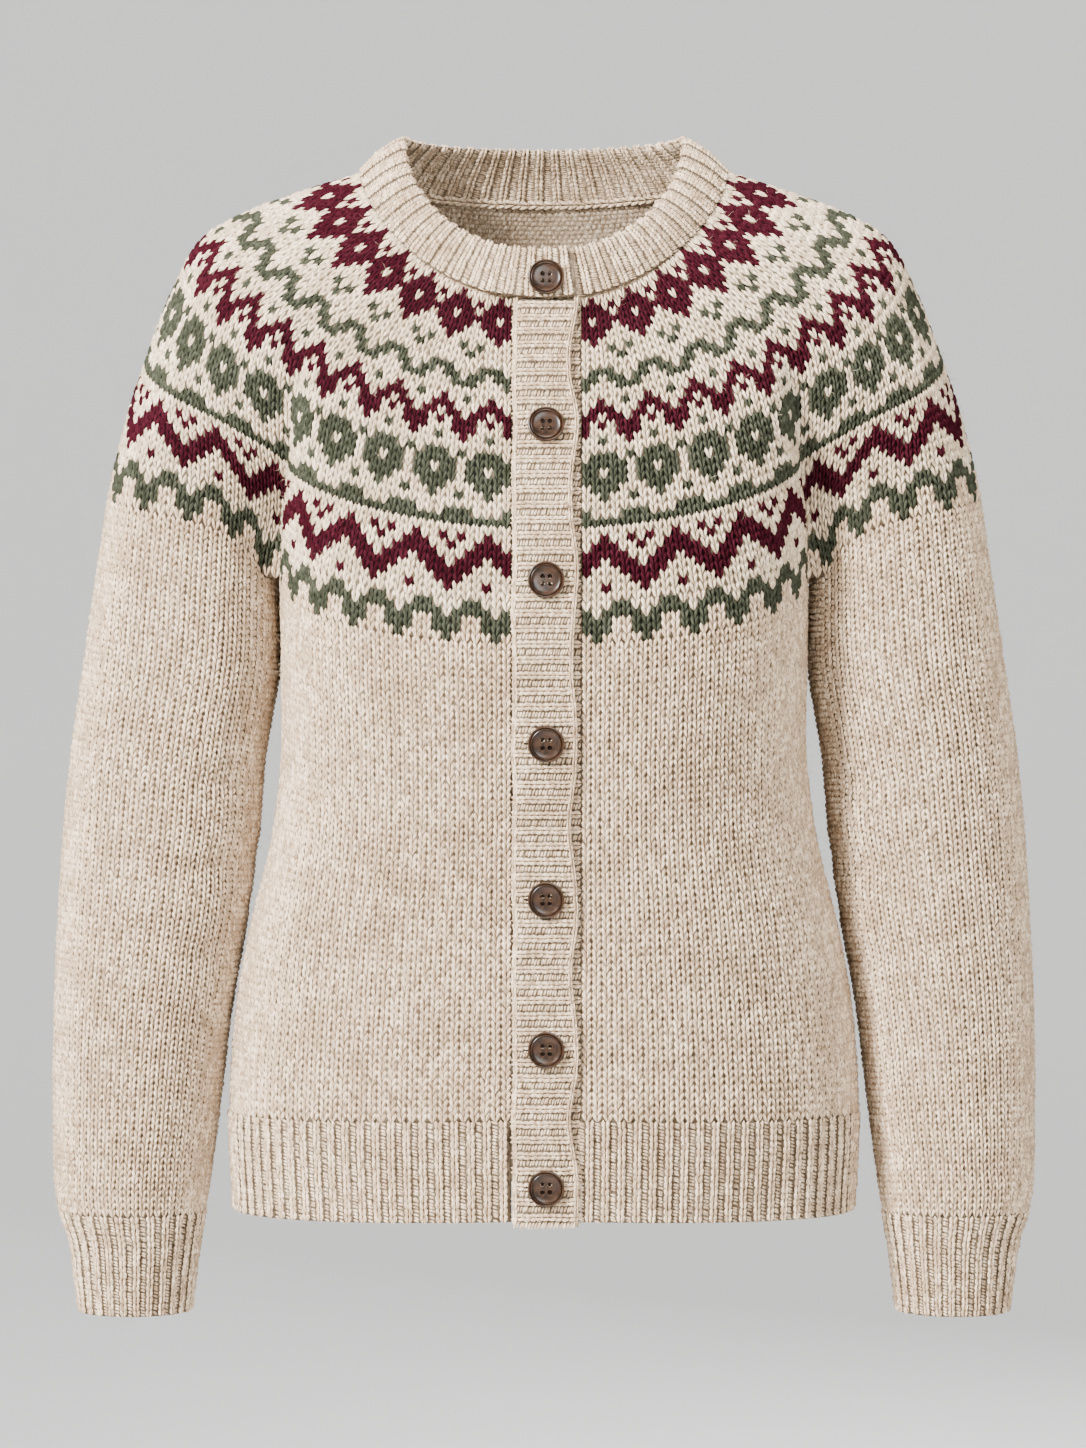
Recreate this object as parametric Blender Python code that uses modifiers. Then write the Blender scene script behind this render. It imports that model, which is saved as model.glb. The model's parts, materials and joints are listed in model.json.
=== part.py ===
"""A fair isle cardigan with a round yoke, ribbed bands and seven buttons.

Metres, +Z up. The wearer faces -Y, so the wearer's left is at +X. The origin is where the
shoulders hold the cardigan: midway between them, at the height of the neck seam's sides.

The plain walls are lofts through horizontal rings of the body and the sleeves. The yoke is a
loft through rings that run round the neck, which widen into the body's and the sleeves' rings.
"""

import math
from collections import namedtuple

import bmesh
import bpy
import numpy as np
from mathutils import Matrix, Vector

MM = 0.001

# Cloth
WALL = 2.4 * MM  # stocking stitch
RIB_WALL = 2.2 * MM  # a rib's cloth under its furrows
RIB_RISE = 1.2 * MM  # how far a rib's columns stand out of its furrows
BAND_RISE = 0.96 * MM  # the same on the firmer neckband and front bands
SEAM_GAP = 0.3 * MM

# Heights below the origin, where the pieces end
HEM_TOP = 535 * MM
HEM_END = 590 * MM
HEM_SAG = 3.5 * MM  # how much lower the hem hangs at the sides than at the centres
BAND_END = 591.5 * MM
CUFF_TOP = 595.6 * MM
CUFF_NARROW = 616 * MM
CUFF_END = 652 * MM

# The front opening: x of the edges that meet the two bands
RIGHT_EDGE = 17.9 * MM
LEFT_EDGE = 20.5 * MM

# How many columns and rows of points the walls have, and how wide their ribs are
FRONT_COLUMNS = 9
UNDERARM_COLUMNS = 4
BACK_COLUMNS = 9
SLEEVE_COLUMNS = 16
BODY_ROWS = 10
SLEEVE_ROWS = 13
HEM_RIB = 8.9 * MM
CUFF_RIBS = 28
NECK_RIB = 8.9 * MM
BAND_RIB = 8.4 * MM

# The underarm seam runs from its front end to its back end, where body and sleeve touch.
UNDERARM_FRONT_Y = -22 * MM
UNDERARM_BACK_Y = 38 * MM
UNDERARM_DROP = 236 * MM
YOKE_FRONT_DROP = 276 * MM
YOKE_BACK_DROP = 228 * MM
YOKE_SLEEVE_DROP = 190 * MM
FRONT_EDGE_BEND = 2.2  # how late the yoke's lower edge rises from the centre front to the armhole
SLEEVE_EDGE_ARCH = 0.57  # share of its fall over the sleeve that is a round arch
SLEEVE_EDGE_BEND = 1.2  # the arch's exponent
SLEEVE_EDGE_CORNER = 8  # the exponent of the rest of it, close to the armhole folds

# Each table gives millimetres, a row for each ring, and is read on a smooth curve.
YokeRing = namedtuple("YokeRing", "share side_x side_z front_y front_z back_y back_z bend")
YOKE_RINGS = (
    # share of the way down; where the ring passes the shoulder line, the centre front and
    # the centre back; and the exponent of its plan, 2 for an ellipse and less for a lozenge
    YokeRing(0.00, 105.5, -3.0, -72.0, -84.0, 74.0, -12.0, 2.00),
    YokeRing(0.13, 138.6, -13.6, -83.6, -107.2, 88.9, -36.7, 1.98),
    YokeRing(0.26, 171.2, -25.6, -93.5, -131.3, 98.0, -64.2, 1.96),
    YokeRing(0.38, 196.6, -41.0, -100.9, -154.0, 103.1, -90.4, 1.92),
    YokeRing(0.50, 211.8, -67.3, -107.2, -177.0, 106.3, -116.8, 1.86),
    YokeRing(0.62, 223.7, -95.8, -111.6, -200.6, 107.9, -143.5, 1.78),
    YokeRing(0.75, 234.1, -127.7, -115.6, -226.2, 107.2, -172.5, 1.68),
    YokeRing(0.88, 242.5, -160.0, -117.6, -252.0, 105.8, -201.5, 1.58),
    YokeRing(1.00, 249.3, -190.0, -117.6, -276.0, 104.6, -228.0, 1.50),
)
YOKE_SIDE_Y = 6 * MM  # the shoulder line lies a little behind the middle
YOKE_RING_DROOP = 1.3  # how sharply a ring falls from the shoulder to the centre front
CREASE_START = 0.36  # share of the way down the yoke where the armhole folds begin
CREASE_BEND = 1.15  # how late they deepen

BodyRing = namedtuple("BodyRing", "drop half_width front back bend")
BODY_RINGS = (
    BodyRing(225, 149.6, -117.2, 104.8, 2.60),
    BodyRing(285, 149.0, -117.6, 101.5, 2.55),
    BodyRing(340, 149.0, -113.5, 97.5, 2.50),
    BodyRing(385, 155.0, -109.0, 96.5, 2.40),
    BodyRing(435, 167.4, -106.5, 99.5, 2.35),
    BodyRing(476, 174.8, -105.8, 103.0, 2.30),
    BodyRing(535, 178.8, -106.5, 106.0, 2.30),
    BodyRing(592, 176.4, -104.5, 104.0, 2.30),
)

SleeveRing = namedtuple("SleeveRing", "drop inner outer front back bend")
SLEEVE_RINGS = (
    SleeveRing(180, 151.8, 248.0, -45.0, 62.0, 2.20),
    SleeveRing(236, 151.2, 256.0, -46.5, 61.0, 2.20),
    SleeveRing(286, 150.6, 263.0, -46.5, 59.0, 2.20),
    SleeveRing(330, 157.5, 269.3, -46.0, 57.0, 2.15),
    SleeveRing(385, 162.4, 274.7, -45.5, 55.0, 2.10),
    SleeveRing(430, 168.8, 277.3, -46.0, 52.0, 2.10),
    SleeveRing(480, 177.6, 279.2, -46.0, 48.5, 2.10),
    SleeveRing(540, 185.0, 279.4, -44.5, 43.0, 2.10),
    SleeveRing(592, 192.0, 276.6, -41.5, 38.0, 2.10),
    SleeveRing(613, 195.8, 269.6, -38.5, 34.0, 2.10),
    SleeveRing(636, 198.8, 266.6, -36.5, 31.5, 2.10),
    SleeveRing(653, 200.6, 264.6, -35.0, 30.0, 2.10),
)

# Soft folds of the sleeves: the middle's height, its place round the sleeve (0 at the inner
# side, 0.25 front, 0.5 outer, 0.75 back), its half length round and up, its depth and its rise
# along its length
SleeveFold = namedtuple("SleeveFold", "drop place round_reach up_reach depth slope")
SLEEVE_FOLDS = (
    SleeveFold(352, 0.14, 0.16, 9, 2.4, 60),
    SleeveFold(398, 0.12, 0.17, 10, 2.8, 40),
    SleeveFold(446, 0.16, 0.15, 9, 2.0, -50),
    SleeveFold(372, 0.84, 0.15, 10, 2.4, -60),
    SleeveFold(424, 0.86, 0.14, 9, 2.2, -40),
    SleeveFold(566, 0.30, 0.22, 8, 1.6, 30),
    SleeveFold(574, 0.70, 0.20, 8, 1.5, -20),
)

# Neckband: where its fold passes the neck's side, centre front and centre back
NECK_TOP_SIDE_X = 79 * MM
NECK_TOP_SIDE_Z = 17.6 * MM
NECK_TOP_FRONT_Y = -67 * MM
NECK_TOP_FRONT_Z = -55.7 * MM
NECK_TOP_BACK_Y = 60 * MM
NECK_TOP_BACK_Z = 17.4 * MM
NECK_DROOP = 1.15  # how sharply the fold falls from the side to the centre front
NECK_WALL = 4.0 * MM
NECK_PROUD = 0.8 * MM
NECK_OVER_X = 18.8 * MM  # the upper end
NECK_UNDER_X = -13.0 * MM  # the end beneath it
NECK_LIFT_X = -32 * MM  # where the upper end starts to rise over the lower one
NECK_LIFT = NECK_WALL + 0.7 * MM
BandCorner = namedtuple("BandCorner", "up inward rib")
NECK_SECTION = (
    # share of the band's height, share of its thickness inwards from its outer face, and
    # which way its ribs stand: 1 out, -1 in, 0 not at all
    BandCorner(0.00, 0.0, 1),
    BandCorner(0.86, 0.0, 1),
    BandCorner(1.00, 0.5, 0),
    BandCorner(0.86, 1.0, -1),
    BandCorner(0.00, 1.0, -1),
)

# Bands: the buttonhole band lies on the button band
OVER_BAND = (-17.6 * MM, 18.5 * MM)
UNDER_BAND = (-12.5 * MM, 20.2 * MM)
OVER_START = 2.2 * MM  # below the neck seam, clear of the neckband's lower edge
UNDER_START = 1.2 * MM
BAND_WALL = 2.6 * MM
BAND_LIFT_WIDTH = 4.4 * MM  # the strip over which it climbs from the front onto the band
BAND_LIFT = BAND_WALL + 0.35 * MM
BAND_EDGE_RISE = 0.6 * MM  # of its plain edge columns
BAND_EDGE_LIFT = 0.2 * MM
FRONT_BULGE = 0.36  # how round the centre front is, as a share of an arc on the half width
BULGE_TOP = 240 * MM  # above this drop it is as round as here

# Buttons
BUTTON_X = 1.1 * MM
BUTTON_DROPS = (73.5, 157.0, 241.0, 329.0, 414.0, 496.0, 571.0)
BUTTON_RADIUS = 10.0 * MM
BUTTON_THICK = 3.2 * MM
ButtonCorner = namedtuple("ButtonCorner", "radius height")
BUTTON_PROFILE = (
    # shares of the radius and of the thickness, from the dished middle over the rim to the back
    ButtonCorner(0.00, 0.58),
    ButtonCorner(0.68, 0.62),
    ButtonCorner(0.84, 1.00),
    ButtonCorner(0.96, 0.86),
    ButtonCorner(1.00, 0.50),
    ButtonCorner(0.84, 0.00),
    ButtonCorner(0.00, 0.00),
)
BUTTON_STEPS = 20
HOLE_OFFSET = 1.95 * MM
HOLE_RADIUS = 1.1 * MM
HOLE_SIDES = 6

RIGHT_SIDE = -1
LEFT_SIDE = 1
SHARP_EDGE = math.radians(40)
FLATTEST_MITRE = 0.3  # a corner's offset is lengthened no more than this allows

Paint = namedtuple("Paint", "red green blue roughness")
OATMEAL = Paint(0.62, 0.54, 0.44, 0.95)
CREAM = Paint(0.70, 0.64, 0.56, 0.95)
HORN = Paint(0.12, 0.065, 0.04, 0.35)


# --- Curves and tables -----------------------------------------------------------------------


def table_row(table, at):
    """The row of a table for any value of its first column, on a smooth curve."""
    rows = np.array(table, float)
    key = rows[:, 0]
    slopes = np.gradient(rows, key, axis=0)
    first = int(np.clip(np.searchsorted(key, at) - 1, 0, len(key) - 2))
    span = key[first + 1] - key[first]
    t = (at - key[first]) / span
    ends = rows[first] * (2 * t**3 - 3 * t**2 + 1) + rows[first + 1] * (3 * t**2 - 2 * t**3)
    lean = slopes[first] * (t**3 - 2 * t**2 + t) + slopes[first + 1] * (t**3 - t**2)
    return type(table[0])(*(ends + span * lean))


def smooth_step(t):
    t = np.clip(t, 0, 1)
    return t * t * (3 - 2 * t)


def signed_power(value, power):
    return np.sign(value) * np.abs(value) ** power


def unit(vectors):
    return vectors / np.linalg.norm(vectors, axis=-1, keepdims=True)


def curve_length(points):
    return float(np.linalg.norm(np.diff(points, axis=0), axis=1).sum())


def shares_along(points):
    """For each point of a curve, how far along it lies, from 0 to 1."""
    steps = np.linalg.norm(np.diff(points, axis=0), axis=1)
    lengths = np.concatenate([[0], np.cumsum(steps)])
    return lengths / lengths[-1]


def at_shares(points, known, wanted):
    """Points of a curve, given the share of each of its points and the wanted shares."""
    return np.stack([np.interp(wanted, known, points[:, axis]) for axis in range(3)], -1)


def oval(middle_x, half_width, front, back, bend, turns, height):
    """A ring at one height. Turn 0 faces the front, a quarter turn the side, a half the back."""
    middle_y = (front + back) / 2
    half_depth = (back - front) / 2
    x = middle_x + half_width * signed_power(np.sin(turns), 2 / bend)
    y = middle_y - half_depth * signed_power(np.cos(turns), 2 / bend)
    return np.stack([x, y, np.full_like(x, height)], -1)


# --- Body and sleeves ------------------------------------------------------------------------

HALF_TURNS = np.linspace(0, math.pi, 241)
FULL_TURNS = np.linspace(-math.pi / 2, 1.5 * math.pi, 481)
FRONT_HALF = len(HALF_TURNS) // 2  # of a half ring's points
QUARTER = len(FULL_TURNS) // 4  # of a whole ring's points


def share_at_x(curve, x):
    """The share at which the front of a half ring crosses an x."""
    return float(np.interp(x, curve[:FRONT_HALF, 0], shares_along(curve)[:FRONT_HALF]))


def body_curve(drop):
    """Half of the body's ring, from the centre front round the side to the centre back."""
    ring = table_row(BODY_RINGS, drop / MM)
    return oval(0, ring.half_width * MM, ring.front * MM, ring.back * MM, ring.bend, HALF_TURNS, -drop)


def body_point(drop, share):
    curve = body_curve(drop)
    return at_shares(curve, shares_along(curve), share)


def fold_depth(drop, place):
    """How far the sleeve's soft folds press its wall inwards at a place."""
    depth = 0
    for fold in SLEEVE_FOLDS:
        off = (place - fold.place + 0.5) % 1 - 0.5
        up = drop / MM - fold.drop - fold.slope * off
        across = np.exp(-((up / fold.up_reach) ** 2))
        depth += fold.depth * MM * across * np.exp(-((off / fold.round_reach) ** 2) * 2)
    return depth


def sleeve_curve(drop):
    """The sleeve's ring on the +X side, from its inner side round the front, outside and back."""
    ring = table_row(SLEEVE_RINGS, drop / MM)
    middle = (ring.inner + ring.outer) / 2 * MM
    half = (ring.outer - ring.inner) / 2 * MM
    return oval(middle, half, ring.front * MM, ring.back * MM, ring.bend, FULL_TURNS, -drop)


def sleeve_point(drop, share):
    curve = sleeve_curve(drop)
    point = at_shares(curve, shares_along(curve), share)
    middle = curve[:-1].mean(0)
    return point + unit(middle - point) * fold_depth(drop, share)


def share_at_y(curve, y, part):
    """The share at which one part of a ring crosses a depth."""
    shares = shares_along(curve)
    order = np.argsort(curve[part, 1])
    return float(np.interp(y, curve[part, 1][order], shares[part][order]))


underarm_body = body_curve(UNDERARM_DROP)
underarm_sleeve = sleeve_curve(UNDERARM_DROP)
BODY_FRONT_END = share_at_y(underarm_body, UNDERARM_FRONT_Y, slice(None))
BODY_BACK_END = share_at_y(underarm_body, UNDERARM_BACK_Y, slice(None))
SLEEVE_FRONT_END = share_at_y(underarm_sleeve, UNDERARM_FRONT_Y, slice(0, QUARTER))
SLEEVE_BACK_END = share_at_y(underarm_sleeve, UNDERARM_BACK_Y, slice(3 * QUARTER, None))


def body_top(share):
    """Height below the origin of the yoke's lower edge on the body."""
    if share <= BODY_FRONT_END:
        fall = YOKE_FRONT_DROP - UNDERARM_DROP
        return YOKE_FRONT_DROP - fall * (share / BODY_FRONT_END) ** FRONT_EDGE_BEND
    if share >= BODY_BACK_END:
        inwards = (share - BODY_BACK_END) / (1 - BODY_BACK_END)
        return UNDERARM_DROP + (YOKE_BACK_DROP - UNDERARM_DROP) * smooth_step(inwards)
    return UNDERARM_DROP


def sleeve_top(share):
    """Height below the origin of the yoke's lower edge on the sleeve."""
    across = (share - SLEEVE_FRONT_END) / (SLEEVE_BACK_END - SLEEVE_FRONT_END)
    if across <= 0 or across >= 1:
        return UNDERARM_DROP
    inwards = abs(2 * across - 1)
    arch = SLEEVE_EDGE_ARCH * inwards**SLEEVE_EDGE_BEND
    corner = (1 - SLEEVE_EDGE_ARCH) * inwards**SLEEVE_EDGE_CORNER
    return YOKE_SLEEVE_DROP + (UNDERARM_DROP - YOKE_SLEEVE_DROP) * (arch + corner)


def hem_drop(level, share):
    """The drop of a line of the hem rib, which hangs lower at the sides."""
    return level + HEM_SAG * math.sin(math.pi * share)


# --- Yoke ------------------------------------------------------------------------------------

# Columns of the half yoke: part of the body's front, then of the sleeve, then of the back.
YokeColumn = namedtuple("YokeColumn", "piece share along hull")
FRONT_PART = 0.30  # shares of the neck seam that lead to the body's front, sleeve and back
SLEEVE_PART = 0.41
FRONT_HULL = 0.272  # the same shares on the smooth ring that the armhole folds sink into
SLEEVE_HULL = 0.452
FOLD_BOTTOM = 0.005  # and of the narrow strip between body and sleeve in each armhole fold


def yoke_columns(front_shares, sleeve_shares, back_shares):
    columns = []
    for share in front_shares:
        part = share / BODY_FRONT_END
        columns.append(YokeColumn("body", share, part * FRONT_PART, part * FRONT_HULL))
    for share in sleeve_shares:
        part = (share - SLEEVE_FRONT_END) / (SLEEVE_BACK_END - SLEEVE_FRONT_END)
        along = FRONT_PART + FOLD_BOTTOM + part * (SLEEVE_PART - 2 * FOLD_BOTTOM)
        hull = FRONT_HULL + FOLD_BOTTOM + part * (SLEEVE_HULL - 2 * FOLD_BOTTOM)
        columns.append(YokeColumn("sleeve", share, along, hull))
    for share in back_shares:
        part = (share - BODY_BACK_END) / (1 - BODY_BACK_END)
        along = FRONT_PART + SLEEVE_PART + part * (1 - FRONT_PART - SLEEVE_PART)
        hull = FRONT_HULL + SLEEVE_HULL + part * (1 - FRONT_HULL - SLEEVE_HULL)
        columns.append(YokeColumn("body", share, along, hull))
    return columns


def smooth_ring(share):
    """Half of a yoke ring with no armhole fold, from the centre front to the centre back."""
    ring = table_row(YOKE_RINGS, share)
    side, ahead = np.sin(HALF_TURNS), np.cos(HALF_TURNS)
    depth = np.where(ahead > 0, ring.front_y, ring.back_y)
    height = np.where(ahead > 0, ring.front_z, ring.back_z)
    near = np.abs(ahead)
    x = ring.side_x * side ** (2 / ring.bend)
    y = depth * near ** (2 / ring.bend) + YOKE_SIDE_Y / MM * side**2
    z = ring.side_z + (height - ring.side_z) * near**YOKE_RING_DROOP
    return np.stack([x, y, z], -1) * MM


def lower_edge(columns):
    """Where the yoke ends on the body and the sleeve."""
    points = []
    for column in columns:
        if column.piece == "body":
            points.append(body_point(body_top(column.share), column.share))
        else:
            points.append(sleeve_point(sleeve_top(column.share), column.share))
    return np.array(points)


def yoke_row(share, columns):
    """Points of the half yoke at one share of the way down, with the armhole folds."""
    along = np.array([column.along for column in columns])
    hull = np.array([column.hull for column in columns])
    where = along + (hull - along) * share
    ring = smooth_ring(share)
    last = smooth_ring(1)
    smooth = at_shares(ring, shares_along(ring), where)
    smooth_end = at_shares(last, shares_along(last), hull)
    pull = smooth_step((share - CREASE_START) / (1 - CREASE_START)) ** CREASE_BEND
    return smooth + pull * (lower_edge(columns) - smooth_end)


def front_columns(edge_x, count):
    """Yoke columns of the body's front. The first is at the opening's edge."""
    first = share_at_x(body_curve(YOKE_FRONT_DROP), edge_x)
    return np.linspace(first, BODY_FRONT_END, count + 1)


def straight_edge(grid, edge_x):
    """Draws the first columns of each row to the opening's straight edge."""
    for row in grid:
        start, reach = row[0, 0], row[FRONT_COLUMNS, 0]
        excess = edge_x - start
        for point in row[:FRONT_COLUMNS]:
            point[0] += excess * (1 - (point[0] - start) / (reach - start))
    return grid


def half_columns(edge_x):
    return yoke_columns(
        front_columns(edge_x, FRONT_COLUMNS),
        np.linspace(SLEEVE_FRONT_END, SLEEVE_BACK_END, SLEEVE_COLUMNS + 1),
        np.linspace(BODY_BACK_END, 1, BACK_COLUMNS + 1),
    )


def half_yoke(edge_x):
    """Rows of the half yoke, down from the neck seam."""
    columns = half_columns(edge_x)
    rows = np.array([yoke_row(ring.share, columns) for ring in YOKE_RINGS])
    return straight_edge(rows, edge_x)


# --- Solids ----------------------------------------------------------------------------------


def to_side(points, side):
    """Moves a half piece made at +X to its side, in clockwise order seen from above."""
    if side == LEFT_SIDE:
        return points[:, ::-1].copy()
    return points * np.array([-1, 1, 1])


def outward(points, loop=False, level_rows=()):
    """For each point of a clockwise grid, the outward vector that makes a mitred offset of 1.

    It is kept level in some rows, where the wall is cut off level.
    """
    grid = np.concatenate([points, points[:, :1]], 1) if loop else points
    across = grid[:, 1:] - grid[:, :-1]
    down = grid[1:] - grid[:-1]
    cells = unit(np.cross(across[:-1] + across[1:], down[:, :-1] + down[:, 1:]))
    total = np.zeros(grid.shape)
    count = np.zeros(grid.shape[:2] + (1,))
    for row in (0, 1):
        for column in (0, 1):
            rows = slice(row, row + cells.shape[0])
            columns = slice(column, column + cells.shape[1])
            total[rows, columns] += cells
            count[rows, columns] += 1
    if loop:
        total[:, 0] += total[:, -1]
        count[:, 0] += count[:, -1]
        total, count = total[:, :-1], count[:, :-1]
    mean = total / count
    away = mean / np.maximum((mean**2).sum(-1, keepdims=True), FLATTEST_MITRE)
    for row in level_rows:
        away[row, :, 2] = 0
    return away


def trimmed(points, top=0.0, bottom=0.0, start=0.0, end=0.0):
    """A grid cut back at its edges by these lengths, along its own columns and rows."""
    cut = points.copy()
    cut[0] += unit(points[1] - points[0]) * top
    cut[-1] += unit(points[-2] - points[-1]) * bottom
    cut[:, 0] += unit(points[:, 1] - points[:, 0]) * start
    cut[:, -1] += unit(points[:, -2] - points[:, -1]) * end
    return cut


def collection(name, hidden=False):
    made = bpy.data.collections.new(name)
    made.hide_render = hidden
    bpy.context.scene.collection.children.link(made)
    return made


def material(name, paint):
    made = bpy.data.materials.new(name)
    made.use_nodes = True
    shader = made.node_tree.nodes["Principled BSDF"]
    shader.inputs["Base Color"].default_value = (paint.red, paint.green, paint.blue, 1)
    shader.inputs["Roughness"].default_value = paint.roughness
    shader.inputs["Metallic"].default_value = 0.0
    made.diffuse_color = (paint.red, paint.green, paint.blue, 1)
    return made


def add_object(name, mesh, paint, where):
    made = bpy.data.objects.new(name, mesh)
    where.objects.link(made)
    if not mesh.materials:
        mesh.materials.append(material(name, paint))
    mesh.shade_smooth()
    mesh.set_sharp_from_angle(angle=SHARP_EDGE)
    return made


def wall(name, outer, inner, paint, where, loop=False):
    """A closed solid between two grids of points. The inner grid may have half the columns."""
    rows, outer_count = outer.shape[:2]
    inner_count = inner.shape[1]
    step = 1 if inner_count == outer_count else 2
    vertices = np.concatenate([outer.reshape(-1, 3), inner.reshape(-1, 3)])
    start = rows * outer_count

    def out(row, column):
        return row * outer_count + column % outer_count

    def inn(row, column):
        return start + row * inner_count + column % inner_count

    faces = []
    for row in range(rows - 1):
        for column in range(outer_count if loop else outer_count - 1):
            corners = (out(row, column), out(row, column + 1), out(row + 1, column + 1))
            faces.append((*corners, out(row + 1, column)))
        for column in range(inner_count if loop else inner_count - 1):
            corners = (inn(row, column), inn(row + 1, column), inn(row + 1, column + 1))
            faces.append((*corners, inn(row, column + 1)))
    for row, turned in ((0, False), (rows - 1, True)):
        for column in range(inner_count if loop else inner_count - 1):
            near, far = inn(row, column), inn(row, column + 1)
            rim = [out(row, column * step + k) for k in range(step + 1)]
            corners = [(rim[k], near if k < step / 2 else far, rim[k + 1]) for k in range(step)]
            corners.append((near, far, rim[step // 2]) if step > 1 else (rim[0], near, far))
            if step == 1:
                corners[0] = (rim[0], far, rim[1])
            faces += [tuple(reversed(three)) if turned else three for three in corners]
    if not loop:
        for row in range(rows - 1):
            faces.append((out(row, 0), out(row + 1, 0), inn(row + 1, 0), inn(row, 0)))
            last = (outer_count - 1, inner_count - 1)
            faces.append(
                (inn(row, last[1]), inn(row + 1, last[1]), out(row + 1, last[0]), out(row, last[0]))
            )
    mesh = bpy.data.meshes.new(name)
    mesh.from_pydata(vertices.tolist(), [], faces)
    faces_out(mesh)
    return add_object(name, mesh, paint, where)


def capped_strip(name, lines, paint, where):
    """A closed solid through lines of points that go round its section, with flat ends."""
    around, count = lines.shape[:2]
    faces = []
    for line in range(around):
        after = (line + 1) % around
        for column in range(count - 1):
            corners = (line * count + column, line * count + column + 1)
            faces.append((*corners, after * count + column + 1, after * count + column))
    faces.append(tuple(line * count for line in range(around)))
    faces.append(tuple(line * count + count - 1 for line in range(around)))
    mesh = bpy.data.meshes.new(name)
    mesh.from_pydata(lines.reshape(-1, 3).tolist(), [], faces)
    faces_out(mesh)
    return add_object(name, mesh, paint, where)


def faces_out(mesh):
    work = bmesh.new()
    work.from_mesh(mesh)
    bmesh.ops.recalc_face_normals(work, faces=work.faces)
    work.to_mesh(mesh)
    work.free()


def add_piece(name, outer, inner, paint, where, loop=False, bottom=SEAM_GAP / 2):
    """A wall that is cut back by half a seam's gap at each edge that meets another piece."""
    ends = 0 if loop else SEAM_GAP / 2
    cuts = {"top": SEAM_GAP / 2, "bottom": bottom, "start": ends, "end": ends}
    wall(name, trimmed(outer, **cuts), trimmed(inner, **cuts), paint, where, loop)


# --- Pieces ----------------------------------------------------------------------------------


def add_yoke(where):
    """The yoke. It returns the outer and inner points of its lower edge."""
    outer = both_sides(half_yoke(RIGHT_EDGE), half_yoke(LEFT_EDGE))
    inner = outer - outward(outer) * WALL
    add_piece("yoke", outer, inner, CREAM, where)
    return outer[-1], inner[-1]


def half_body(edge_x):
    """Rows of half the body: its front, the underarm and half the back."""
    front = front_columns(edge_x, FRONT_COLUMNS)
    under = np.linspace(BODY_FRONT_END, BODY_BACK_END, UNDERARM_COLUMNS + 1)
    back = np.linspace(BODY_BACK_END, 1, BACK_COLUMNS + 1)
    shares = np.concatenate([front, under[1:], back[1:]])
    tops = np.array([body_top(share) for share in shares])
    rows = []
    ends = np.array([hem_drop(HEM_TOP, share) for share in shares])
    for part in np.linspace(0, 1, BODY_ROWS + 1):
        drops = tops + (ends - tops) * part
        rows.append([body_point(drop, share) for drop, share in zip(drops, shares)])
    return straight_edge(np.array(rows), edge_x)


def both_sides(right_half, left_half):
    """One grid from the right front's edge clockwise round the back to the left front's edge."""
    return np.concatenate([to_side(right_half, RIGHT_SIDE), to_side(left_half, LEFT_SIDE)[:, 1:]], 1)


def add_body(edge, where):
    """The fronts and the back, whose top edges follow the yoke's lower edge."""
    outer = both_sides(half_body(RIGHT_EDGE), half_body(LEFT_EDGE))
    inner = outer - outward(outer, level_rows=(-1,)) * WALL
    front, under, back, sleeve = FRONT_COLUMNS + 1, UNDERARM_COLUMNS, BACK_COLUMNS, SLEEVE_COLUMNS + 1
    centre = front + under + back - 1
    yoke_centre = front + sleeve + back
    seams = (
        (slice(0, front), slice(0, front)),
        (slice(centre - back, centre + back + 1), slice(yoke_centre - back, yoke_centre + back + 1)),
        (slice(-front, None), slice(-front, None)),
    )
    for body_part, yoke_part in seams:
        outer[0, body_part] = edge[0][yoke_part]
        inner[0, body_part] = edge[1][yoke_part]
    side = front - 1 + under // 2
    pieces = {
        "front_right": slice(0, side + 1),
        "back": slice(side, 2 * centre - side + 1),
        "front_left": slice(2 * centre - side, None),
    }
    for name, part in pieces.items():
        add_piece(name, outer[:, part], inner[:, part], OATMEAL, where)


def sleeve_grid(shares, tops, bottom, rows):
    grid = []
    for part in np.linspace(0, 1, rows + 1):
        drops = tops + (bottom - tops) * part
        grid.append([sleeve_point(drop, share % 1) for drop, share in zip(drops, shares)])
    return np.array(grid)


def add_sleeve(name, side, edge, where):
    """A sleeve tube. Its columns run from the front end of the underarm round to it again."""
    over = np.linspace(SLEEVE_FRONT_END, SLEEVE_BACK_END, SLEEVE_COLUMNS + 1)
    under = np.linspace(SLEEVE_BACK_END, 1 + SLEEVE_FRONT_END, UNDERARM_COLUMNS + 1)[1:-1]
    shares = np.concatenate([over, under])
    tops = np.array([sleeve_top(share) for share in shares])
    outer = to_side(sleeve_grid(shares, tops, CUFF_TOP, SLEEVE_ROWS), side)
    inner = outer - outward(outer, loop=True, level_rows=(-1,)) * WALL
    count = SLEEVE_COLUMNS + 1
    first = FRONT_COLUMNS + 1
    if side == RIGHT_SIDE:
        sleeve_part, yoke_part = slice(0, count), slice(first, first + count)
    else:
        sleeve_part, yoke_part = slice(-count, None), slice(-first - count, -first)
    outer[0, sleeve_part] = edge[0][yoke_part]
    inner[0, sleeve_part] = edge[1][yoke_part]
    add_piece(name, outer, inner, OATMEAL, where, loop=True)


def ribbed(base, away):
    """Outer points raised at every second column, and a plain inside with half the columns."""
    lift = np.where(np.arange(base.shape[1]) % 2, RIB_RISE / 2, -RIB_RISE / 2)[None, :, None]
    inner = base - away * (RIB_WALL + RIB_RISE / 2)
    return base + away * lift, inner[:, ::2]


SIDE_SEAM = (BODY_FRONT_END + BODY_BACK_END) / 2


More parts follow.
